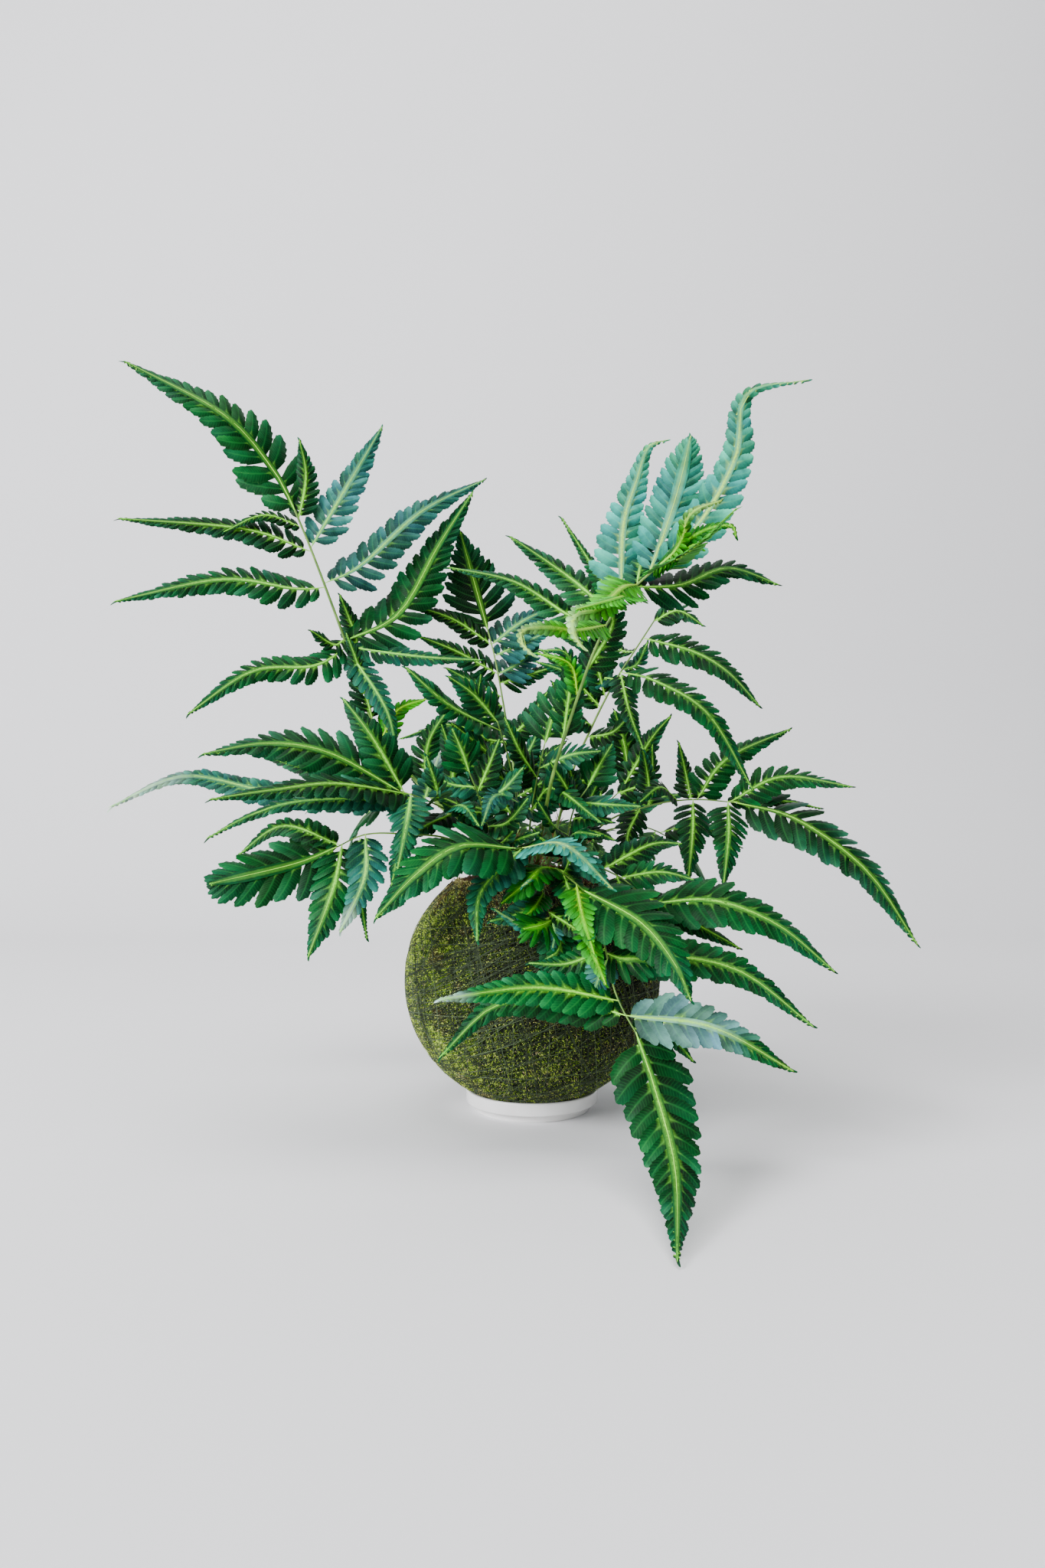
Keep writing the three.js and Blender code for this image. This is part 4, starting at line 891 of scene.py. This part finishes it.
def mossLeavesPart(lowest, highest):
    # short moss leaves, each a slim four-faced blade that leans out of the surface: foot a, foot b, back, tip
    b = ballLook
    n = b["leaves"]
    z = rng.uniform(lowest, highest, n)
    a = rng.uniform(0, 2 * np.pi, n)
    unit = np.stack([np.sqrt(1 - z ** 2) * np.cos(a), np.sqrt(1 - z ** 2) * np.sin(a), z], 1)
    foot = ballPoint(unit, (b["radius"] - b["leafSunk"] + mossHeight(unit))[:, None])
    lean = normalised(unit * b["leafOutward"] + rng.normal(0, b["leafLean"], (n, 3)))
    side = normalised(np.cross(lean, unit + rng.normal(0, b["leafTurn"], (n, 3))))
    tall, wide = (rng.uniform(*b[size], n)[:, None] for size in ("leafLength", "leafHalfWidth"))
    back = np.cross(side, lean) * wide * 0.6
    ridge, tip = foot + back + lean * tall * 0.45, foot + lean * tall
    co = np.stack([foot - side * wide, foot + side * wide, ridge, tip], 1)
    return scatteredPart(co, [[0, 1, 3], [1, 2, 3], [2, 0, 3], [0, 2, 1]], tip=np.tile([0.0, 0.0, 0.5, 1.0], n),
                         tone=np.repeat(rng.random(n), 4))


def mossMaterial():
    # matted living moss: dull, dark between the leaves with painted shade, their tips yellow-green, tan where
    # it has dried; painted light on its left, painted shade on its right
    material, add, place, feed = startMaterial("mattedMoss", 0.9, IOR=1.35)
    smooth = dict(interpolation_type="SMOOTHSTEP")
    tip, tone = (add("Attribute", attribute_name=label, output="Fac") for label in ("tip", "tone"))
    patch, tuft, dry = (add("TexNoise", {"Vector": place, "Scale": scale, "Detail": detail})
                        for scale, detail in ((34, 3), (260, 3), (46, 5)))  # 29, 4 and 22 mm
    right, up = (add("SeparateXYZ", [place], axis) for axis in "XZ")
    # painted light: brighter on the left, the side turned to the window lamp, and a little low on the ball:
    # axis + 0.09 * noise, in metres
    fresh = []
    for axis, noise, ends in ((up, patch, [0.15, 0.085, 0, 0.024]), (right, dry, [0.025, -0.025, 0, 0.168])):
        uneven = add("Math", [noise, 0.09, axis], operation="MULTIPLY_ADD")
        fresh.append(add("MapRange", [uneven, *ends], **smooth))
    # painted shade: dim on the side turned from the window lamp
    uneven = add("Math", [patch, 0.06, right], operation="MULTIPLY_ADD")
    paintedShade = add("MapRange", [uneven, 0.02, 0.1, 0, -0.15], **smooth)
    # the level in the ramps: 0.28 tip + 0.36 tone + tufts + patches + painted light on the left + painted shade
    # on the right
    tufts = add("MapRange", [tuft, 0.34, 0.66, 0, 0.17], **smooth)
    level = add("Math", [tip, 0.28, tufts], operation="MULTIPLY_ADD")
    level = add("Math", [tone, 0.36, level], operation="MULTIPLY_ADD")
    patches = add("MapRange", [patch, 0.3, 0.7, 0, 0.1], **smooth)
    for share in (patches, add("Math", fresh, operation="MAXIMUM"), paintedShade):
        level = add("Math", [level, share], operation="ADD")
    green = add("ValToRGB", [level],
                stops=[(0.15, "#060b02"), (0.31, "#28420a"), (0.44, "#7aa41c"), (0.6, "#e2fa68")])
    straw = add("ValToRGB", [level], stops=[(0.16, "#100b05"), (0.38, "#74582a"), (0.62, "#f4dca4")])
    # dried patches: where the noise is high, and more of them towards the top; single dead leaves anywhere
    top = add("Math", [dry, 0.04, up], operation="MULTIPLY_ADD")
    dried = add("MapRange", [dry, 0.57, 0.68, 0, 0.7], **smooth)
    for ends in ([top, 0.15, 0.178, 0, 0.75], [tone, 0.92, 0.95, 0, 1]):
        dried = add("Math", [dried, add("MapRange", ends, **smooth)], operation="MAXIMUM")
    feed("Base Color", add("Mix", {0: dried, 6: green, 7: straw}, 2, data_type="RGBA"))
    feed("Normal", add("Bump", {"Height": tuft, "Strength": 0.8, "Distance": 0.0012}))
    return material


def buildMoss():
    # the layer, and its leaves in two pieces, below and above a ring a quarter of the radius under the middle
    b, material = ballLook, mossMaterial()
    rim = math.sin(math.radians(b["opening"] + 6))
    layer = makeObject("moss_layer_fine", [mossLayerPart()], [material])
    lower = makeObject("moss_leaves_lower", [mossLeavesPart(b["lowestLeaf"], b["middle"])], [material])
    upper = makeObject("moss_leaves_upper", [mossLeavesPart(b["middle"], rim)], [material])
    for piece in (layer, lower, upper):
        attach(piece, "root")
    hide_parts("moss_layer")


# each turn of thread is the ball's cut by a plane, open where it would cross the opening; a family is (tilt of
# the plane's normal from upright, its heading, how many turns, wander in degrees, lowest and highest offset)
threadLook = dict(steps=84, radius=0.21, lift=0.8, slack=0.45, follow=0.5, headingWander=12, offsetWander=0.02,
                  outermost=0.95, clearance=3, widestOpening=2.8, sway=0.006, families=[
    (22, 184, 58, 5, -0.86, 0.62), (64, 2, 40, 6, -0.9, 0.9), (85, 8, 50, 5, -0.93, 0.93),
    (38, 190, 22, 8, -0.8, 0.6),
    (8, 150, 30, 5, -0.9, 0.7), (82, 96, 40, 6, -0.93, 0.93), (30, 172, 40, 3, 0.15, 0.5),
])


def buildThread():
    # point = axis * offset + sqrt(1 - offset^2) * (first cos + second sin); `first` is the turn's highest side
    b, look = ballLook, threadLook
    turns = []
    for tilt, heading, many, wander, lowest, highest in look["families"]:
        tilts = np.radians(tilt + rng.normal(0, wander, many))
        headings = np.radians(heading + rng.normal(0, look["headingWander"], many))
        offsets = np.linspace(lowest, highest, many) + rng.normal(0, look["offsetWander"], many)
        turns.append(np.stack([tilts, headings, np.clip(offsets, -look["outermost"], look["outermost"])], 1))
    tilts, headings, offsets = np.vstack(turns).T
    ring = np.sqrt(1 - offsets ** 2)
    high = np.sin(np.radians(b["opening"] + look["clearance"]))
    opening = np.arccos(np.clip((high - offsets * np.cos(tilts)) / (ring * np.abs(np.sin(tilts))), -1, 1))
    kept = opening < look["widestOpening"]
    tilts, headings, offsets, ring, opening = (a[kept][:, None]
                                               for a in (tilts, headings, offsets, ring, opening))
    turn = opening + np.linspace(0, 1, look["steps"]) * (2 * np.pi - 2 * opening)
    axis = np.stack([np.sin(tilts) * np.cos(headings), np.sin(tilts) * np.sin(headings), np.cos(tilts)], -1)
    first = direction(tilts, headings) * [-1, -1, 1]
    second = np.cross(axis, first)
    turned = first * np.cos(turn)[..., None] + second * np.sin(turn)[..., None]
    unit = axis * offsets[..., None] + ring[..., None] * turned
    unit = normalised(unit + look["sway"] * np.sin(turn * 7 + tilts * 90)[..., None] * axis)
    lift = b["radius"] + look["lift"] + look["follow"] * mossHeight(unit)
    lift = lift + rng.uniform(0, look["slack"], (len(unit), 1))
    path = ballPoint(unit, lift[..., None])
    part = tubes(path, look["radius"] * rng.uniform(0.7, 1.2, (len(path), 1)), 3, unit)
    part["values"] = {"pale": np.repeat(rng.random(len(path)) ** 3, part["perPath"])}
    piece = makeObject("fine_binding_thread", [part], [threadMaterial()])
    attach(piece, "root")
    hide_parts("binding_thread")


def threadMaterial():
    # waxed cotton thread: dark green-brown and dull, a few turns worn pale
    material, add, place, feed = startMaterial("darkWaxedThread", 0.7, IOR=1.45)
    ply = add("TexNoise", {"Vector": place, "Scale": 700, "Detail": 2})  # 1.4 mm
    pale = add("Attribute", attribute_name="pale", output="Fac")
    dark = add("ValToRGB", [ply], stops=[(0.3, "#121b0b"), (0.7, "#2a381c")])
    worn = add("ValToRGB", [ply], stops=[(0.3, "#4e6444"), (0.7, "#7c9068")])
    feed("Base Color", add("Mix", {0: pale, 6: dark, 7: worn}, 2, data_type="RGBA"))
    return material


# the soil in mm: the dome in the opening, its crumbs, and the root fibres round the crown
soilLook = dict(radius=78.65, top=162, sides=160, footRows=40, domeRows=60, crumbs=900, crumbsWithin=54,
                crumbSize=(0.6, 1.9), crumbUneven=(0.7, 1.3), crumbLift=0.2,
                fibres=420, fibresWithin=62, fibreSteps=8, fibreReach=(5, 17), fibreTurn=1.2, fibreWander=0.35,
                fibreRise=(0.3, 2.6), fibreRadius=(0.14, 0.32))


def soilRim():
    # radius and height of the dome's rim, where the soil meets the opening
    b, angle = ballLook, math.radians(ballLook["opening"])
    pressed = soilLook["radius"] * b["halfHeight"] / b["radius"]
    return soilLook["radius"] * math.cos(angle), b["centre"] + pressed * math.sin(angle)


def soilTop(x, y):
    # height of the dome: rim height + (top - rim height) * sqrt(1 - share^2), with crumbly noise
    rimRadius, rimHeight = soilRim()
    share = np.clip(np.hypot(x, y) / rimRadius, 0, 1)
    dome = rimHeight + (soilLook["top"] - rimHeight) * np.sqrt(1 - share ** 2)
    at = np.stack([x, y, dome], -1)
    return dome + 1.6 * (valueNoise(at, 6, 11) - 0.6) + 0.8 * (valueNoise(at, 2, 12) - 0.5)


def soilPart():
    # latitude rows from the foot up to the rim, then rings of the dome in to its middle
    b, s = ballLook, soilLook
    a = np.linspace(0, 2 * np.pi, s["sides"], endpoint=False)
    height = np.radians(np.linspace(b["footAngle"], b["opening"] - 1.5, s["footRows"]))[:, None] + 0 * a
    radius = soilRim()[0] * np.linspace(1, 0.015, s["domeRows"])[:, None]
    x, y = radius * np.cos(a), radius * np.sin(a)
    rings = np.concatenate([ballPoint(direction(height, a), s["radius"]), np.stack([x, y, soilTop(x, y)], -1)])
    foot = b["centre"] - s["radius"] * b["halfHeight"] / b["radius"]
    return ringedPart(rings, [0, 0, foot], [0, 0, soilTop(np.array(0.0), np.array(0.0))])


def scatter(many, within):
    # places spread evenly over a disc: x, y and the heading of each
    r, a = within * np.sqrt(rng.random(many)), rng.uniform(0, 2 * np.pi, many)
    return r * np.cos(a), r * np.sin(a), a


def crumbsPart():
    # crumbs of peat: eight-faced lumps, each corner at its own distance, pressed into the dome
    look, n = soilLook, soilLook["crumbs"]
    x, y, _ = scatter(n, look["crumbsWithin"])
    at = np.stack([x, y, soilTop(x, y) + look["crumbLift"]], 1)
    corner = np.array([[1, 0, 0], [-1, 0, 0], [0, 1, 0], [0, -1, 0], [0, 0, 1], [0, 0, -1]], float)
    size = rng.uniform(*look["crumbSize"], (n, 1, 1)) * rng.uniform(*look["crumbUneven"], (n, 6, 1))
    return scatteredPart(at[:, None] + corner[None] * size, [[0, 2, 4], [2, 1, 4], [1, 3, 4], [3, 0, 4],
                                                             [2, 0, 5], [1, 2, 5], [3, 1, 5], [0, 3, 5]])


def fibresPart():
    # root fibres: thin arcs, height = ground + rise sin(pi t), over the soil and over the moss's rim
    look, b = soilLook, ballLook
    n, steps = look["fibres"], look["fibreSteps"]
    x, y, a = scatter(n, look["fibresWithin"])
    reach = rng.uniform(*look["fibreReach"], n)
    heading = a + rng.normal(0, look["fibreTurn"], n)
    t = np.linspace(0, 1, steps)
    px, py = (start[:, None] + reach[:, None] * t * turn(heading)[:, None]
              + rng.normal(0, look["fibreWander"], (n, steps)) for start, turn in ((x, np.cos), (y, np.sin)))
    onMoss = b["centre"] + b["halfHeight"] * np.sqrt(np.clip(1 - (px ** 2 + py ** 2) / b["radius"] ** 2, 0, 1))
    ground = np.where(np.hypot(px, py) < soilRim()[0], soilTop(px, py), onMoss)
    rise = rng.uniform(*look["fibreRise"], (n, 1)) * np.sin(np.pi * t)
    path = np.stack([px, py, ground + rise + look["fibreRise"][0]], -1)
    return tubes(path, rng.uniform(*look["fibreRadius"], (n, 1)), 3, np.array([0.0, 0.2, 1.0]), material=1)


def peatMaterial():
    # damp peat and bark: near-black brown, dull, coarse; crumbs of 3 mm
    return grainedMaterial("dampPeat", 0.96, 330, 5, [(0.3, "#1c130c"), (0.5, "#3b2817"), (0.72, "#6b4a2a")],
                           (1.0, 0.002), IOR=1.4)


def fibreMaterial():
    # dry root fibre: orange-brown and dull; noise of 8 mm
    return grainedMaterial("dryRootFibre", 0.8, 120, 2, [(0.35, "#2a1a0e"), (0.65, "#6a4826")], IOR=1.4)


def buildSoil():
    # one piece: the ball of peat inside the moss, with its crumbs and fibres in the opening
    parts = [soilPart(), crumbsPart(), fibresPart()]
    piece = makeObject("soil_and_roots", parts, [peatMaterial(), fibreMaterial()])
    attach(piece, "root")
    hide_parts("soil_ball")


# the studio: sweep and focal frame in mm and pixels, lamps in metres and watts
studioLook = dict(
    sweep=[(0.2, "#e8e8e9"), (0.8, "#ebebec")], sky="#eff3f7", skyStrength=0.13,
    sweepBack=1500, sweepBend=500, sweepTall=3200, sweepWide=4200,
    camera=(-6.5, -733, 198), pitch=1.62, focal=1400, frame=(1365, 2048), sensor=36,
    # a lamp: place, size, power, colour, what it points at
    lamps={
        "key_window": ((-2.3, -1.9, 1.7), 1.7, 196, "#fbfbff", (0, 0, 0.22)),
        "fill_front": ((-0.6, -2.6, 0.9), 1.6, 17, "#fbfbff", (0, 0, 0.12)),
        "top_soft": ((0.0, -0.6, 3.2), 2.2, 92, "#ffffff", (0, 0, 0.22)),
    },
)


def buildSweep():
    # floor and wall in one sheet: flat, then a quarter turn, then upright
    look = studioLook
    back, bend, wide = look["sweepBack"], look["sweepBend"], look["sweepWide"]
    t = np.linspace(0, np.pi / 2, 24)
    line = np.vstack([[(-2200, 0), (-600, 0), (0, 0), (back - bend, 0)],
                      np.stack([back - bend + bend * np.sin(t), bend - bend * np.cos(t)], 1),
                      [(back, look["sweepTall"])]])
    x = np.linspace(-wide, wide, 9)
    co = np.stack(np.broadcast_arrays(x[None, :], line[:, :1], line[:, 1:]), -1).reshape(-1, 3)
    # matt paint, almost even in tone over half a metre and more
    paint = grainedMaterial("paintedStudioSweep", 0.9, 1.5, 2, look["sweep"])
    sweep = makeObject("studio_sweep", [{"co": co, "quads": grid(len(line), len(x)), "values": {}}], [paint])


def buildLights():
    # square lamps turned to what they point at, and an even pale sky for the shadows
    for name, (place, size, watts, colour, aim) in studioLook["lamps"].items():
        light = bpy.data.lights.new(name, "AREA")
        light.size, light.energy, light.color = size, watts, linearColour(colour)[:3]
        lamp = bpy.data.objects.new(name, light)
        lamp.location = place
        lamp.rotation_euler = (Vector(aim) - Vector(place)).to_track_quat("-Z", "Y").to_euler()
        bpy.context.scene.collection.objects.link(lamp)
    world = bpy.data.worlds.new("paleRoom")
    world.use_nodes = True
    sky = world.node_tree.nodes["Background"].inputs
    sky["Color"].default_value = linearColour(studioLook["sky"])
    sky["Strength"].default_value = studioLook["skyStrength"]
    bpy.context.scene.world = world


def buildCamera():
    # the focal length in pixels over the frame's longer side gives the lens on the sensor
    look = studioLook
    camera = bpy.data.cameras.new("camera")
    camera.lens = look["focal"] / max(look["frame"]) * look["sensor"]
    camera.sensor_width = look["sensor"]
    camera.clip_start, camera.clip_end = 0.01, 20
    holder = bpy.data.objects.new("camera", camera)
    holder.location = [c * mm for c in look["camera"]]
    holder.rotation_euler = (math.radians(90 + look["pitch"]), 0, 0)
    bpy.context.scene.collection.objects.link(holder)
    bpy.context.scene.camera = holder


buildCamera()
buildSweep()
buildLights()
print("studio ready")
buildDish()
buildMoss()
buildThread()
buildSoil()
print("ball and dish ready")
frondMaterials = [bladeMaterial("fernBladeWaxySkin", 0.4, "#909a98", 0.0), stalkMaterial(), scaleMaterial(),
                  bladeMaterial("fernBladeDullUnderside", 0.6, "#a0a898", 0.3)]
for frondName, frondShape in fronds.items():
    buildFrond(frondName, frondShape, frondMaterials)
print("fronds ready")
